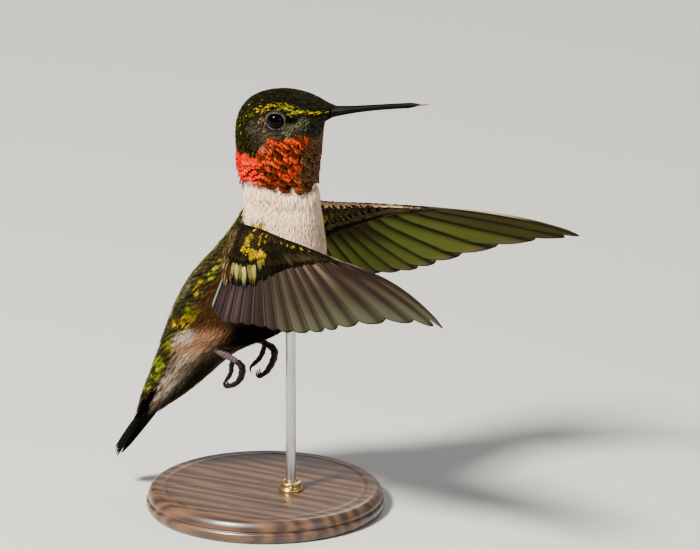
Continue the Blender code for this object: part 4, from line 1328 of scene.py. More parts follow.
def flight_feathers(side, numbers):
    """Long feathers of one wing. At (s, t) a vane lies at the feather's own number plus its
    offset, which is wider on the inner side, and s of the way from under the coverts to its tip.
    Each outer edge stands over the inner vane of the next feather, like tiles."""
    rng = np.random.default_rng(SEED + 101 + side)
    leaf = LONG_LEAF
    number = np.asarray(numbers, float)[:, None]
    s, t = leaf.s[None], leaf.t[None]
    inner = np.where(number == FIRST_SECONDARY, FIRST_INNER_VANE, INNER_VANE)
    outer = np.where(number == LAST_PRIMARY, LAST_OUTER_VANE, OUTER_VANE)
    narrow = 0.42 + 0.58 * ease(s, 0.34)
    ripple = 1.0 + 0.02 * np.sin(9.0 * s + number * 2.3) * s
    off = np.where(t > 0.0, outer * t, inner * t) * narrow * ripple
    start = along(COVERT_LINE, number)[..., 0] * VANE_START
    lobe = read(TIP_LOBES, number)
    fray = rng.uniform(0.0, 0.006, (len(number), leaf.columns))[:, leaf.column]
    tip = 1.0 - lobe * np.abs((off + 0.16) / 0.68) ** 2.4 - fray
    place = start + (tip - start) * s
    feather = number + off
    twist = 0.10 * np.sin(number * 1.7 + 4.0 * s) * s
    height = (off / 0.68) * length("bird_wing", "stack") + twist * 0.5
    thick = length("bird_wing", "vane_thickness")
    points = (wing_points(feather, place)
              + wing_normals(feather) * (height + leaf.sheet[None] * thick / 2.0)[..., None])
    lower = np.broadcast_to(leaf.sheet[None] < 0.0, off.shape)
    tint = flight_colours(side, np.broadcast_to(number, off.shape), off, place, lower)
    reach = apart(wing_points(number, 1.0), wing_points(number, start))
    pitch = apart(wing_points(number + 0.5, 0.7), wing_points(number - 0.5, 0.7))
    return points * (1.0, side, 1.0), tint, reach[:, 0], pitch[:, 0] * 1.35


def long_feather_piece(name, points, tint, reach, span, shine):
    """One object of long feathers with their point colours."""
    count, each = points.shape[:2]
    return new_piece(
        name, (points.reshape(-1, 3), stacked_faces(points, LONG_LEAF.quads)),
        finished("long_feather", long_feather_finish),
        tint=tint.reshape(-1, 3), maps=(("Vane", np.tile(LONG_LEAF.vane, (count, 1))),),
        values=(("reach", np.repeat(reach, each)), ("span", np.repeat(span, each)),
                ("shine", np.full(count * each, shine))))


def shaft_shape(line, radius, outward):
    """A shaft: a tube whose radius falls from root to tip as 1 - 0.8 x^0.8."""
    x = np.linspace(0.0, 1.0, len(line))
    width = radius * (1.0 - 0.8 * x ** 0.8)
    rings = tube_rings(line, width, width, 6, outward)
    return closed_rings(rings), ring_values(x, 6)


def wing_shaft(side, number):
    """The shaft of one flight feather, from under the coverts to its tip. The shafts of the middle
    feathers end just past the vane, and the outer two are thicker."""
    start = along(COVERT_LINE, [number])[0, 0] * SHAFT_START
    end = 1.012 if -2 < number < 5 else 0.99
    line = wing_points(float(number), np.linspace(start, end, 26)) * (1.0, side, 1.0)
    outward = wing_normals(np.array([float(number)]))[0] * (1.0, side, 1.0)
    thicker = 1.25 if number > 8 else 1.0
    return shaft_shape(line, length("bird_wing", "shaft_radius") * thicker, outward)


def tail_shaft(side, order):
    """The shaft of one tail feather, which bends out from the tail's root."""
    centre, end = TAIL_FEATHERS[order]
    down = np.linspace(-0.2, end * 0.97, 16)
    across = centre * (0.5 + 0.5 * smooth((down + 0.3) / (end + 0.3), 0.0, 0.5))
    line = tail_points(side, across, down, np.full(16, TAIL_HEIGHT - TAIL_STEP * order))
    return shaft_shape(line, TAIL_SHAFT_RADIUS, (0.8, 0.0, -0.6))


def shaft_piece(name, shafts):
    """The shafts of a row of long feathers, dark, with a paler root."""
    x = np.concatenate([value for _, value in shafts])
    tint = toward(colour("bird_wing", "outer_vane") * 0.62, colour("bird_wing", "bloom"),
                  (1.0 - smooth(x, 0.0, 0.25)) * 0.35)
    new_piece(name, joined([shape for shape, _ in shafts]), finished("quill", quill_finish),
              tint=tint)


TAIL_LINE = ((-20.7, 12.7), (-22.5, 10.3), (-25.85, 5.15))
TAIL_HALF_WIDTHS = (2.85, 2.8, 0.95)
TAIL_ARCH = 1.0
TAIL_HEIGHT = 0.22             # of the middle feather over the tail's line
TAIL_STEP = 0.11               # from one feather down to the next
TAIL_HALF_THICKNESS = 0.04
TAIL_SHAFT_RADIUS = 0.13
# Centre across as a share of the half width, and reach, of the tail feathers of one side.
TAIL_FEATHERS = ((0.10, 0.93), (0.30, 0.95), (0.50, 0.97), (0.70, 0.99), (0.88, 1.0))


def tail_points(side, across, down, height):
    """The tail: its middle line, plus across times the half width, raised to its back by the
    height and by an arch of 1 less the square of across."""
    line = spline((0.0, 0.36, 1.0), TAIL_LINE, down)
    ahead = unit(spline((0.0, 0.36, 1.0), TAIL_LINE, down + NUDGE) - line)
    half = spline((0.0, 0.4, 1.0), TAIL_HALF_WIDTHS, down)[..., 0]
    height = height + TAIL_ARCH * (1.0 - across ** 2)
    return np.stack((line[..., 0] + ahead[..., 1] * height, side * across * half,
                     line[..., 1] - ahead[..., 0] * height), axis=-1)


def tail_feathers(side):
    """Five tail feathers of one side, the outer ones longest and most pointed, each lying under
    the one nearer the middle."""
    leaf = LONG_LEAF
    centre, reach = (np.array(part)[:, None] for part in zip(*TAIL_FEATHERS))
    order = np.arange(len(TAIL_FEATHERS))[:, None]
    s, t = leaf.s[None], leaf.t[None]
    down = -0.30 + (reach * (1.0 - (0.10 + 0.03 * order) * np.abs(t) ** 2.2) + 0.30) * s
    width = 0.25 * (0.8 + 0.2 * ease(s, 0.4)) * (1.0 - 0.05 * order * s ** 4)
    across = centre * (0.92 + 0.08 * smooth(s, 0.0, 0.5)) + width * t
    height = TAIL_HEIGHT - TAIL_STEP * order + 0.05 * t + leaf.sheet[None] * TAIL_HALF_THICKNESS
    points = tail_points(side, across, down, height)
    inner = (1.0 - order / 3.0).clip(0.0, 1.0) * np.abs(t)
    tint = toward(colour("bird_wing", "tail"), feather_colour("green"), inner * 0.05)
    tint = np.broadcast_to(tint, points.shape) * (1.0 + 0.6 * (np.abs(t) ** 4)[..., None])
    return points, tint, (reach * 9.0)[:, 0], np.full(len(centre), 1.6)


# ---------------------------------------------------------------- operators

class PieceOperator:
    """What every operator of this file shares."""

    bl_options = {"REGISTER", "UNDO"}


SKIN_GRID = (120, 72)          # rings from bill to tail, and points round each
ARM_GRID = (12, 60)            # points from front edge to coverts' end, and rows along the wing
SKIN_CELL = 0.30               # width of the cells in which the parts of the skin are joined
SKIN_SOFTENING = (0.5, 6)      # strength and number of the steps that smooth the join
SKIN_DULLNESS = 0.7            # the skin's colours as a share of the plumage's


class BIRD_OT_skin(PieceOperator, bpy.types.Operator):
    """One skin for head, neck, trunk, tail root, arms and hands"""

    bl_idname = "bird.skin"
    bl_label = "Skin"

    def execute(self, context):
        rings, around = SKIN_GRID
        place, angle = np.meshgrid(np.linspace(0.0, BODY_END, rings), circle(around), indexing="ij")
        body = body_surface(place, angle, np.zeros_like(place))
        tint, _, _, _ = plumage(place.ravel(), angle.ravel(), np.random.default_rng(SEED))
        shapes, samples, tints = [closed_rings(body)], [body.reshape(-1, 3)], [tint]
        steps, rows = ARM_GRID
        share = np.concatenate((np.linspace(0.0, 0.98, steps), np.linspace(0.98, 0.0, steps)[:-1]))
        share, feather = np.meshgrid(share, np.linspace(-7.0, 9.6, rows))
        for _, side in SIDES:
            upper, lower = (arm_surface(side, face)(share, feather, np.full(share.shape, 0.16))
                            for face in (1, -1))
            rings = np.concatenate((upper[:, :steps], lower[:, steps:]), axis=1)
            shapes.append(closed_rings(rings))
            samples.append(rings.reshape(-1, 3))
            tints.append(np.tile(feather_colour("wing_coverts"), (share.size, 1)))
        points, quads, tris = joined(shapes)
        rough = bpy.data.meshes.new("rough_skin")
        rough.from_pydata((points * MM).tolist(), [], quads.tolist() + tris.tolist())
        holder = bpy.data.objects.new("rough_skin", rough)
        context.scene.collection.objects.link(holder)
        step = holder.modifiers.new("weld", "REMESH")
        step.mode, step.voxel_size = "VOXEL", SKIN_CELL * MM
        step = holder.modifiers.new("soften", "SMOOTH")
        step.factor, step.iterations = SKIN_SOFTENING
        whole = holder.evaluated_get(context.evaluated_depsgraph_get()).to_mesh()
        found = np.empty(len(whole.vertices) * 3, np.float32)
        whole.vertices.foreach_get("co", found)
        corners = np.empty(len(whole.loops), np.int32)
        whole.loops.foreach_get("vertex_index", corners)
        found, faces = found.reshape(-1, 3) / MM, corners.reshape(-1, 4)
        holder.to_mesh_clear()
        bpy.data.objects.remove(holder, do_unlink=True)
        tint = nearest_rows(found, np.concatenate(samples), np.concatenate(tints))
        skin = new_piece("skin", (found, faces), finished("bare_skin", skin_finish),
                         tint=tint * SKIN_DULLNESS)
        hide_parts("head", "neck", "breast", "belly", "tail_coverts", "wing_left_arm",
                    "wing_right_arm")
        return {"FINISHED"}


def nearest_rows(points, samples, rows, block=3000):
    """For every point, the row of its nearest sample: the least of |b|^2 - 2ab, block by block."""
    samples = samples.astype(np.float32)
    level = (samples ** 2).sum(axis=1)
    nearest = [np.argmin(level - 2.0 * (part @ samples.T), axis=1)
               for part in np.array_split(points.astype(np.float32), max(1, len(points) // block))]
    return rows[np.concatenate(nearest)]


COAT_PIECES = (
    ("crown_feathers", ("head",), "crown_feathers"),
    ("gorget_feathers", ("gorget",), "crown_feathers"),
    ("collar_feathers", ("collar",), "collar_feathers"),
    ("back_feathers", ("back",), "back_feathers"),
    ("flank_feathers", ("flank", "belly"), "flank_feathers"),
    ("under_tail_feathers", ("under_tail",), "undertail_feathers"),
)


class BIRD_OT_coat(PieceOperator, bpy.types.Operator):
    """Feathers of the body, one piece for each coat"""

    bl_idname = "bird.coat"
    bl_label = "Body feathers"

    def execute(self, context):
        for strands, ending in ((False, ""), (True, "_strands")):
            material = (finished("strand", strand_finish) if strands
                        else finished("feather", feather_finish))
            for name, coats, slot in COAT_PIECES:
                leaf, batch = body_leaves(coats, strands)
                if len(batch[0]):
                    leaf_piece(name + ending, leaf, [batch], material)
        return {"FINISHED"}


class BIRD_OT_coverts(PieceOperator, bpy.types.Operator):
    """Coverts of both wings, above and beneath"""

    bl_idname = "bird.coverts"
    bl_label = "Wing coverts"

    def execute(self, context):
        for label, side in SIDES:
            for where, face in (("upper", 1), ("under", -1)):
                leaf_piece(f"wing_{label}_{where}_coverts", FEATHER, wing_coverts(side, face),
                           finished("feather", feather_finish))
        return {"FINISHED"}


class BIRD_OT_flight_feathers(PieceOperator, bpy.types.Operator):
    """Primaries and secondaries of both wings, with their shafts"""

    bl_idname = "bird.flight_feathers"
    bl_label = "Flight feathers"

    def execute(self, context):
        for label, side in SIDES:
            for kind, numbers in (("primary", range(1, LAST_PRIMARY + 1)),
                                  ("secondary", range(FIRST_SECONDARY, 1))):
                points, tint, reach, span = flight_feathers(side, list(numbers))
                piece = long_feather_piece(f"wing_{label}_{kind}_vanes", points, tint, reach, span, 0.15)
                nodes = [f"wing_{label}_{kind}_{number if number > 0 else 1 - number}" for number in numbers]
                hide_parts(*nodes)
                shaft_piece(f"wing_{label}_{kind}_shafts", [wing_shaft(side, number) for number in numbers])
        return {"FINISHED"}


class BIRD_OT_tail(PieceOperator, bpy.types.Operator):
    """Ten tail feathers with their shafts"""

    bl_idname = "bird.tail"
    bl_label = "Tail"

    def execute(self, context):
        for label, side in SIDES:
            points, tint, reach, span = tail_feathers(side)
            piece = long_feather_piece(f"tail_{label}_vanes", points, tint, reach, span, 0.05)
            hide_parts(*[f"tail_{label}_{pair}" for pair in ("inner", "middle", "outer")])
            shafts = [tail_shaft(side, order) for order in range(len(TAIL_FEATHERS))]
            shaft_piece(f"tail_{label}_shafts", shafts)
        return {"FINISHED"}


IRIS = (0.44, 0.50, 0.80, 0.92)  # angles from the eye's axis at which the iris begins and ends
EYE_GRID = (36, 48)
CORNEA_RISE = 0.03             # share by which the middle of the eye stands out
CORNEA_ANGLE = 0.6
LID_OVAL = 0.07                # share by which the lids' opening is longer and lower than round
LID_HALF_WIDTH = 0.21
# Rows of beads on a lid: their number, distance from the opening, radius and brightness.
BEAD_ROWS = ((40, 0.10, 0.075, 0.55), (36, 0.30, 0.065, 0.28))


def eye_frame(side):
    """The eye's centre, and unit vectors outwards, forwards and up."""
    mirror = (1.0, side, 1.0)
    outward = unit(EYE_AXIS * mirror)
    forward = unit(np.cross(np.cross(outward, (1.0, 0.0, 0.0)), outward))
    forward = forward * np.sign(forward[0])
    return EYE_CENTRE * mirror, outward, forward, np.cross(outward, forward) * side * -1.0


def lid_shapes(side):
    """One eye's lids, first the almond ring on a slightly larger ball, then rows of beads, as
    (shape, brightness) pairs. The opening's radius is its mean times 1 + 0.07 cos of twice the
    angle round the eye, and a place that far from the axis stands out by the root of the ball's
    radius squared less its own."""
    radius, opening = length("bird_head", "eye_radius"), length("bird_head", "opening")
    centre, outward, forward, up = eye_frame(side)

    def almond(turn):
        return opening * (1.0 + LID_OVAL * np.cos(2.0 * turn + 0.35 * side))

    def spokes(turn):
        return np.cos(turn)[:, None] * forward + np.sin(turn)[:, None] * up

    def stand(reach, clear):
        return np.sqrt((radius + clear) ** 2 - np.minimum(reach, radius * 0.97) ** 2)

    turn, section = circle(72), circle(10)
    middle = almond(turn) + 0.19
    flat = middle[:, None] + LID_HALF_WIDTH * np.cos(section)
    lift = stand(middle, 0.02)[:, None] - (flat - middle[:, None]) * 0.85 + 0.09 * np.sin(section)
    ring = centre + flat[..., None] * spokes(turn)[:, None] + lift[..., None] * outward
    shapes = [(closed_loop(ring), 0.045)]
    for count, out, size, light in BEAD_ROWS:
        turn = np.arange(count) * 2.0 * math.pi / count
        reach = almond(turn) + out
        level = stand(reach, 0.05) - out * 0.12
        middle = centre + reach[:, None] * spokes(turn) + level[:, None] * outward
        shapes.append((ball_stack(middle, size * (1.0 + 0.18 * np.sin(turn * 5.0))), light))
    return shapes


def closed_loop(grid):
    """Points, quads and no triangles of a surface that closes on itself both ways."""
    rows, columns = grid.shape[:2]
    index = np.arange(rows * columns).reshape(rows, columns)
    ahead, below = np.roll(index, -1, axis=1), np.roll(index, -1, axis=0)
    quads = np.stack((index, ahead, np.roll(below, -1, axis=1), below), axis=-1).reshape(-1, 4)
    points = grid.reshape(-1, 3)
    if signed_volumes(points[None], quads)[0] < 0.0:
        quads = quads[:, ::-1]
    return points, quads, np.zeros((0, 3), int)


class BIRD_OT_eyes(PieceOperator, bpy.types.Operator):
    """Both eyes with their beaded lids"""

    bl_idname = "bird.eyes"
    bl_label = "Eyes"

    def execute(self, context):
        radius, lid = length("bird_head", "eye_radius"), colour("bird_head", "lid")
        rings, around = EYE_GRID
        angle = np.linspace(0.03, math.pi - 0.03, rings)
        polar, turn = angle[:, None, None], circle(around)[None, :, None]
        iris = smooth(angle, *IRIS[:2]) * (1.0 - smooth(angle, *IRIS[2:]))
        for label, side in SIDES:
            centre, outward, forward, up = eye_frame(side)
            spoke = np.cos(turn) * forward + np.sin(turn) * up
            swell = radius * (1.0 + CORNEA_RISE * np.exp(-(polar / CORNEA_ANGLE) ** 2))
            ball = centre + swell * (np.cos(polar) * outward + np.sin(polar) * spoke)
            eye = new_piece(f"eye_{label}_ball", closed_rings(ball), finished("wet_eye", eye_finish),
                            values=(("iris", ring_values(iris, around)),))
            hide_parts(f"eye_{label}")
            lids = lid_shapes(side)
            tints = [np.tile(lid * light, (len(shape[0]), 1)) for shape, light in lids]
            new_piece(f"eye_{label}_lids", joined([shape for shape, _ in lids]),
                      finished("lid_beads", bead_finish), tint=np.concatenate(tints))
        return {"FINISHED"}


BILL_ROOT = np.array((12.1, 0.0, 67.7))
BILL_TIP = np.array((27.3, 0.0, 70.8))
BILL_RISE = 0.15
BILL_WIDTHS = (1.12, 0.42)
BILL_HEIGHTS = (0.90, 0.42)
BILL_BURIED = 0.10             # share of the bill's length inside the feathers of the face
BILL_GRID = (90, 32)
BLUNT_PART = 0.12              # share of the length over which the point rounds off
NOSTRIL = (0.115, 0.045, 0.80, 0.13)  # middle and half size along the bill, then across it
TONGUE_SPAN = (-1.2, 1.5)      # start and end of the tongue's tip, from the bill's tip
TONGUE_RADIUS = 0.10


def mandible(top, reach):
    """One half of the bill, open side down or up. Its section is a half ellipse closed by a
    nearly flat gape: y = w cos a, z = h sin a on the outer side and 0.1 h sin a on the inner.
    The half width and height fall as (1 - x)^4, then to a blunt point over the last eighth, and a
    long dent near the root of the upper half is the nostril. The lower half is a little slighter."""
    x = np.linspace(-BILL_BURIED, reach, BILL_GRID[0])[:, None]
    turn = circle(BILL_GRID[1])[None, :]
    taper = np.clip(1.0 - x, 0.0, 1.0) ** 4
    blunt = np.clip((reach - x) / BLUNT_PART, 0.0, 1.0) ** 0.6 * 0.96 + 0.04
    wide, high = ((tip + (root - tip) * taper) * blunt for root, tip in (BILL_WIDTHS, BILL_HEIGHTS))
    sine = np.sin(turn)
    ridge = 1.0 + 0.05 * np.exp(-((turn - math.pi / 2.0) / 0.35) ** 2)
    level = np.where(sine >= 0.0, sine * high * ridge, 0.10 * sine * high) + 0.035
    side = 1.0 if top else 0.93
    middle, half, out, half_out = NOSTRIL
    nostril = np.exp(-((x - middle) / half) ** 2 - ((np.abs(np.cos(turn)) - out) / half_out) ** 2)
    off = wide * side * np.cos(turn) * (1.0 - 0.22 * nostril * (sine > 0.0) * top)
    line = BILL_ROOT + (BILL_TIP - BILL_ROOT) * x[..., None]
    line[..., 2] += BILL_RISE * np.sin(math.pi * np.clip(x, 0.0, 1.0))
    rings = np.broadcast_to(line, BILL_GRID + (3,)).copy()
    rings[..., 1] = off
    rings[..., 2] += level * (1.0 if top else -0.92)
    return closed_rings(rings), ring_values(x[:, 0], BILL_GRID[1])


def tongue_tine(side):
    """One tine of the tongue's fork: it leaves the bill's tip and turns out and up from its
    fellow, while its thickness falls to a quarter."""
    x = np.linspace(*TONGUE_SPAN, 18)
    part = smooth(x, 0.35, 1.5)
    line = (BILL_TIP + unit(BILL_TIP - BILL_ROOT) * x[:, None]
            + np.stack((0.0 * x, side * (0.075 + 0.10 * part), 0.05 * part), axis=1))
    thick = TONGUE_RADIUS * (1.0 - 0.75 * smooth(x, 0.3, 1.5))
    return closed_rings(tube_rings(line, thick * 1.2, thick, 8))


class BIRD_OT_bill(PieceOperator, bpy.types.Operator):
    """Upper and lower half of the bill, and the tip of the tongue"""

    bl_idname = "bird.bill"
    bl_label = "Bill"

    def execute(self, context):
        halves = [mandible(True, 1.0), mandible(False, 0.975)]
        x = np.concatenate([value for _, value in halves])
        tint = toward(colour("bird_head", "bill"), colour("bird_head", "bill_base"),
                      (1.0 - smooth(x, 0.0, 0.30)) * 0.8)
        material = finished("bill_horn", horn_finish, 0.42)
        bill = new_piece("bill_halves", joined([shape for shape, _ in halves]), material,
                         tint=tint)
        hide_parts("bill")

        fork = joined([tongue_tine(side) for _, side in SIDES])
        tint = np.tile(colour("bird_head", "tongue"), (len(fork[0]), 1))
        material = finished("tongue_flesh", horn_finish, 0.4)
        tongue = new_piece("tongue_fork", fork, material, tint=tint)
        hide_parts("tongue_tip")
        return {"FINISHED"}


LEG_Y = 4.6
# Lines (x, z) of each foot's shank, front toe, hind toe and claws.
FOOT_LINES = {
    -1: {"leg": ((-8.2, 29.0), (-6.9, 27.6), (-5.65, 26.6), (-4.11, 25.95), (-2.5, 25.2)),
         "toe": ((-2.6, 25.3), (-1.95, 24.62), (-1.87, 23.78), (-2.20, 22.62), (-2.99, 21.68), (-3.9, 21.3)),
         "claw": ((-3.72, 21.32), (-4.35, 21.10), (-4.80, 21.40), (-4.82, 22.0)),
         "hind": ((-3.35, 25.6), (-3.74, 24.59), (-3.79, 23.75), (-4.11, 22.87), (-4.55, 22.21)),
         "hind_claw": ((-4.46, 22.31), (-4.83, 21.85), (-4.92, 21.40), (-4.62, 21.05))},
    1: {"leg": ((-6.6, 29.4), (-4.8, 27.7), (-3.55, 26.53), (-2.90, 26.10), (-2.10, 25.80)),
        "toe": ((-2.32, 25.83), (-1.09, 25.35), (-0.52, 24.46), (-0.72, 23.24), (-1.27, 22.05),
                (-2.02, 20.95), (-2.65, 20.40)),
        "claw": ((-2.53, 20.43), (-3.06, 20.25), (-3.42, 20.65), (-3.42, 21.35)),
        "hind": ((-2.20, 25.75), (-2.65, 24.17), (-3.27, 23.01), (-3.90, 22.33), (-4.44, 21.79)),
        "hind_claw": ((-4.35, 21.88), (-4.70, 21.49), (-4.80, 20.97), (-4.58, 20.42))},
}
TOE_LEANS = (-0.62, 0.0, 0.62)  # how far the front toes spread sideways
# Shank and toes: radius at start and end as shares of the shank's, rings, scutes and swelling.
FLESH = {
    "leg": (1.75, 1.02, 90, 14, 0.0),
    "hind": (0.98, 0.74, 64, 10, 0.07),
    "toe": (1.04, 0.78, 84, 15, 0.08),
}
# Claws: radius at root and point, and rings.
CLAWS = {"hind_claw": (0.28, 0.05, 30), "claw": (0.29, 0.05, 34)}
FOOT_SIDES = 14


def foot_part(line, start, end, steps, y, lean=0.0, scutes=0, bulge=0.0):
    """A toe, shank or claw: a tube through points (x, z), leaning sideways by the root of the
    length. Its radius goes from start to end, less a notch at each scute, plus a swelling
    between joints. Returns its shape and, for its points, how high each scute stands."""
    knots = np.arange(len(line))
    x = np.linspace(0.0, 1.0, steps)
    flat = spline(knots, line, x * knots[-1])
    points = np.stack((flat[:, 0], y + lean * np.sqrt(x), flat[:, 1]), axis=1)
    crest = np.abs(np.sin(math.pi * scutes * x)) ** 0.5 if scutes else np.ones(steps)
    swell = 1.0 + bulge * np.cos(2.0 * math.pi * (x * knots[-1]))
    round_end = np.sqrt(np.clip(1.0 - ((x - 0.93) / 0.07).clip(0.0, 1.0) ** 2, 0.02, 1.0))
    radius = (start + (end - start) * x) * (0.86 + 0.16 * crest) * swell * round_end
    rings = tube_rings(points, radius, radius * 1.06, FOOT_SIDES)
    return closed_rings(rings), ring_values(crest, FOOT_SIDES)


def fleshy_part(side, key, lean=0.0):
    """The shank or a toe of one foot."""
    start, end, steps, scutes, bulge = FLESH[key]
    thick = length("bird_foot", "shank_radius")
    return foot_part(FOOT_LINES[side][key], thick * start, thick * end, steps, side * LEG_Y, lean, scutes,
                     bulge)


def claw_part(side, key, lean=0.0):
    """A claw of one foot, at the end of a toe with that lean."""
    return foot_part(FOOT_LINES[side][key], *CLAWS[key], side * LEG_Y + lean, lean * 0.12)


class BIRD_OT_feet(PieceOperator, bpy.types.Operator):
    """Feet with scutes, three front toes, a hind toe and claws, curled under the belly"""

    bl_idname = "bird.feet"
    bl_label = "Feet"

    def execute(self, context):
        skin, scute, claw = (colour("bird_foot", key) for key in ("skin", "scute", "claw"))
        for label, side in SIDES:
            toes = [fleshy_part(side, "leg"), fleshy_part(side, "hind")]
            toes += [fleshy_part(side, "toe", lean) for lean in TOE_LEANS]
            claws = [claw_part(side, "hind_claw")] + [claw_part(side, "claw", lean) for lean in TOE_LEANS]
            whole = joined([shape for shape, _ in toes + claws])
            crest = np.concatenate([value for _, value in toes])
            shin = np.arange(len(crest)) < len(toes[0][1])
            leg = smooth(whole[0][:len(crest), 0], -4.6, -6.4) * shin
            base = toward(skin, 1.3 * feather_colour("flank"), leg)
            # The shank is lighter all round, and the scutes' crests carry a painted highlight.
            light = 0.30 * shin + (0.08 + 0.22 * shin) * crest ** 4
            bare = np.tile(claw, (len(whole[0]) - len(crest), 1))
            tint = np.concatenate((toward(base, scute, light), bare))
            foot = new_piece(f"foot_{label}_scutes", whole, finished("foot_skin", scaly_finish),
                             tint=tint)
            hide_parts(f"foot_{label}")
        return {"FINISHED"}


ROD_X = 4.5
ROD_TOP = 33.6
ROD_SUNK = 0.2                 # depth of the rod's foot in the base
FLAT = 0.02                    # radius of the fan in the middle of the base's two faces
# The base's outline (radius, height), as shares of its radius and height.
BASE_PROFILE = (
    (0.0, 0.0), (0.97, 0.0), (0.985, 0.05), (1.0, 0.20), (1.0, 0.40), (0.990, 0.47), (0.978, 0.50),
    (0.978, 0.54), (0.988, 0.58), (0.986, 0.68), (0.976, 0.80), (0.958, 0.92), (0.935, 0.985), (0.915, 1.0),
    (0.86, 1.0), (0.852, 0.975), (0.845, 0.955), (0.838, 0.975), (0.83, 1.0), (0.40, 1.0), (0.0, 1.0),
)


# The collar's outline (radius, height above the base) from its outer foot to its inner top, with a
# cove between two beads.
COLLAR_PROFILE = ((1.95, 0.0), (2.0, 0.06), (2.0, 0.34), (1.90, 0.42), (1.72, 0.50), (1.62, 0.66),
                  (1.62, 0.86), (1.70, 1.00), (1.78, 1.08), (1.78, 1.30), (1.70, 1.40), (1.55, 1.46),
                  (1.30, 1.50))
SCREW_TURN = math.radians(-65.0)
SCREW_SPAN = (0.9, 2.1)        # start and end of the collar's screw, from the rod's axis
SCREW_RADII = (0.30,) * 9 + (0.29, 0.26, 0.10)


class BIRD_OT_stand(PieceOperator, bpy.types.Operator):
    """Turned wooden base, steel rod and brass collar"""

    bl_idname = "bird.stand"
    bl_label = "Display stand"

    def execute(self, context):
        radius, height = length("bird_stand", "base_radius"), length("bird_stand", "base_height")
        rod = length("bird_stand", "rod_radius")
        profile = np.array(BASE_PROFILE) * (radius, height)
        knots = np.arange(len(profile))
        fine = np.linspace(0.0, knots[-1], knots[-1] * 6 + 1)
        profile = np.stack([np.interp(fine, knots, profile[:, k]) for k in (0, 1)], axis=1)
        radii, level = (np.convolve(np.pad(profile[:, k], 2, "edge"), np.ones(5) / 5.0, "valid")
                        for k in (0, 1))
        profile = np.stack((np.clip(radii, FLAT, radius), level), axis=1)
        profile[0], profile[-1] = (FLAT, 0.0), (FLAT, height)
        base = new_piece("stand_base_turned", closed_rings(turned_rings(profile, 160)),
                         finished("waxed_wood", wood_finish))
        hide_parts("stand_base")

        level = np.concatenate(((height - ROD_SUNK,), np.linspace(height, ROD_TOP, 40)))
        rings = turned_rings(np.stack((np.full(len(level), rod), level), axis=1), 40, (ROD_X, 0.0))
        steel = finished("drawn_steel", metal_finish, "steel", 0.20, (1.0, 1.0, 14.0))
        piece = new_piece("stand_rod_polished", closed_rings(rings), steel)
        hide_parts("stand_rod")

        outline = np.array(((rod, 0.0), *COLLAR_PROFILE, (rod, 1.50))) + (0.0, height)
        shapes = [closed_loop(turned_rings(outline, 96, (ROD_X, 0.0)))]
        way = np.array((math.cos(SCREW_TURN), math.sin(SCREW_TURN), 0.0))
        line = np.array((ROD_X, 0.0, height + 0.76)) + way * np.linspace(*SCREW_SPAN, 12)[:, None]
        shapes.append(closed_rings(tube_rings(line, SCREW_RADII, SCREW_RADII, 20, (0.0, 0.0, 1.0))))
        brass = finished("turned_brass", metal_finish, "brass", 0.22, (1.0, 1.0, 10.0))
        collar = new_piece("stand_collar_turned", joined(shapes), brass)
        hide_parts("stand_collar")
        return {"FINISHED"}


AIM = (13.49, 36.98, 14.0)     # the view's centre, along the camera's right, up and back
# Lamps: direction as parts of the camera's back and right and of upright, size and distance in
# metres, setting of the power, and colour.
LAMPS = {
    "key": ((0.75, -0.80, 0.95), 0.16, 0.75, "key", (1.0, 0.95, 0.87)),
    "fill": ((0.9, 0.9, 0.25), 0.6, 0.9, "fill", (0.90, 0.95, 1.0)),
    "rim": ((-0.8, 0.2, 0.9), 0.4, 0.8, "fill", (1.0, 0.98, 0.93)),
}
FILM_WIDTH = 36.0              # mm
VIEW_END = 20.0                # metres
SKY = (0.80, 0.86, 0.90, 1.0)
SKY_STRENGTH = 0.30
FLOOR_HALF = 3.0               # half the floor's width, in metres


def placed(name, data, axes, place):
    """An object of a camera or lamp at a place in metres, its own axes as given."""
    holder = bpy.data.objects.new(name, data)
    matrix = np.eye(4)
    matrix[:3, :3] = np.stack(axes, axis=1)
    matrix[:3, 3] = place
    holder.matrix_world = matrix.T.tolist()
    bpy.context.scene.collection.objects.link(holder)
    return holder


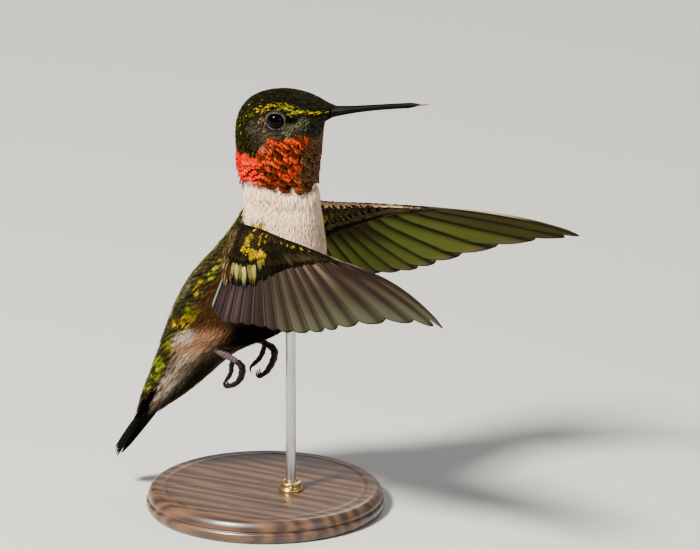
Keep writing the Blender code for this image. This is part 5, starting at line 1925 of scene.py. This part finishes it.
class BIRD_OT_stage(PieceOperator, bpy.types.Operator):
    """Camera, soft studio lights and a pale floor"""

    bl_idname = "bird.stage"
    bl_label = "Stage"

    def execute(self, context):
        stage = settings("bird_stage")
        azimuth, elevation = stage.azimuth, stage.elevation
        right = np.array((math.cos(azimuth), math.sin(azimuth), 0.0))
        back = np.array((math.sin(azimuth) * math.cos(elevation), -math.cos(azimuth) * math.cos(elevation),
                         math.sin(elevation)))
        up = np.cross(back, right)
        aim = (AIM[0] * right + AIM[1] * up + AIM[2] * back) * MM

        camera = bpy.data.cameras.new("camera")
        camera.sensor_width = FILM_WIDTH
        camera.lens = camera.sensor_width * stage.distance / stage.frame_width
        camera.clip_end = VIEW_END
        context.scene.camera = placed("camera", camera, (right, up, back), aim + back * stage.distance)

        for name, (parts, size, distance, power, tint) in LAMPS.items():
            lamp = bpy.data.lights.new(name, "AREA")
            lamp.shape, lamp.size = "DISK", size
            lamp.energy, lamp.color = getattr(stage, power), tint
            way = unit(back * parts[0] + right * parts[1] + (0.0, 0.0, parts[2]))
            aside = unit(np.cross((0.0, 0.0, 1.0), way))
            placed(name, lamp, (aside, np.cross(way, aside), way), aim + way * distance)

        world = bpy.data.worlds.new("studio")
        world.use_nodes = True
        sky = world.node_tree.nodes["Background"].inputs
        sky["Color"].default_value, sky["Strength"].default_value = SKY, SKY_STRENGTH
        context.scene.world = world

        floor = bpy.data.meshes.new("floor")
        corners = ((-1, -1), (1, -1), (1, 1), (-1, 1))
        floor.from_pydata([(x * FLOOR_HALF, y * FLOOR_HALF, 0.0) for x, y in corners], [], [(0, 1, 2, 3)])
        floor.materials.append(finished("studio_floor", floor_finish))
        sheet = bpy.data.objects.new("floor", floor)
        context.scene.collection.objects.link(sheet)
        return {"FINISHED"}


class BIRD_PT_panel(bpy.types.Panel):
    """Lists the settings, and the pieces in the order in which they are made"""

    bl_label = "Hummingbird"
    bl_idname = "BIRD_PT_panel"
    bl_space_type = "VIEW_3D"
    bl_region_type = "UI"
    bl_category = "Bird"

    def draw(self, context):
        for group, _ in GROUPS:
            box = self.layout.box()
            for key in getattr(context.scene, group).bl_rna.properties.keys():
                if key not in ("rna_type", "name"):
                    box.prop(getattr(context.scene, group), key)
        for operator in OPERATORS:
            self.layout.operator(operator.bl_idname)


GROUPS = (
    ("bird_plumage", PlumageSettings), ("bird_wing", WingSettings), ("bird_head", HeadSettings),
    ("bird_foot", FootSettings), ("bird_stand", StandSettings), ("bird_stage", StageSettings),
)
OPERATORS = (
    BIRD_OT_skin, BIRD_OT_coat, BIRD_OT_coverts, BIRD_OT_flight_feathers, BIRD_OT_tail, BIRD_OT_eyes,
    BIRD_OT_bill, BIRD_OT_feet, BIRD_OT_stand, BIRD_OT_stage,
)


def register():
    for name, group in GROUPS:
        bpy.utils.register_class(group)
        setattr(bpy.types.Scene, name, PointerProperty(type=group))
    for operator in OPERATORS:
        bpy.utils.register_class(operator)
    bpy.utils.register_class(BIRD_PT_panel)


def unregister():
    bpy.utils.unregister_class(BIRD_PT_panel)
    for operator in reversed(OPERATORS):
        bpy.utils.unregister_class(operator)
    for name, group in reversed(GROUPS):
        delattr(bpy.types.Scene, name)
        bpy.utils.unregister_class(group)


def main():
    register()
    for operator in OPERATORS:
        group, action = operator.bl_idname.split(".")
        if getattr(getattr(bpy.ops, group), action)() != {"FINISHED"}:
            raise RuntimeError(f"{operator.bl_label} was not made")


if __name__ == "__main__":
    main()
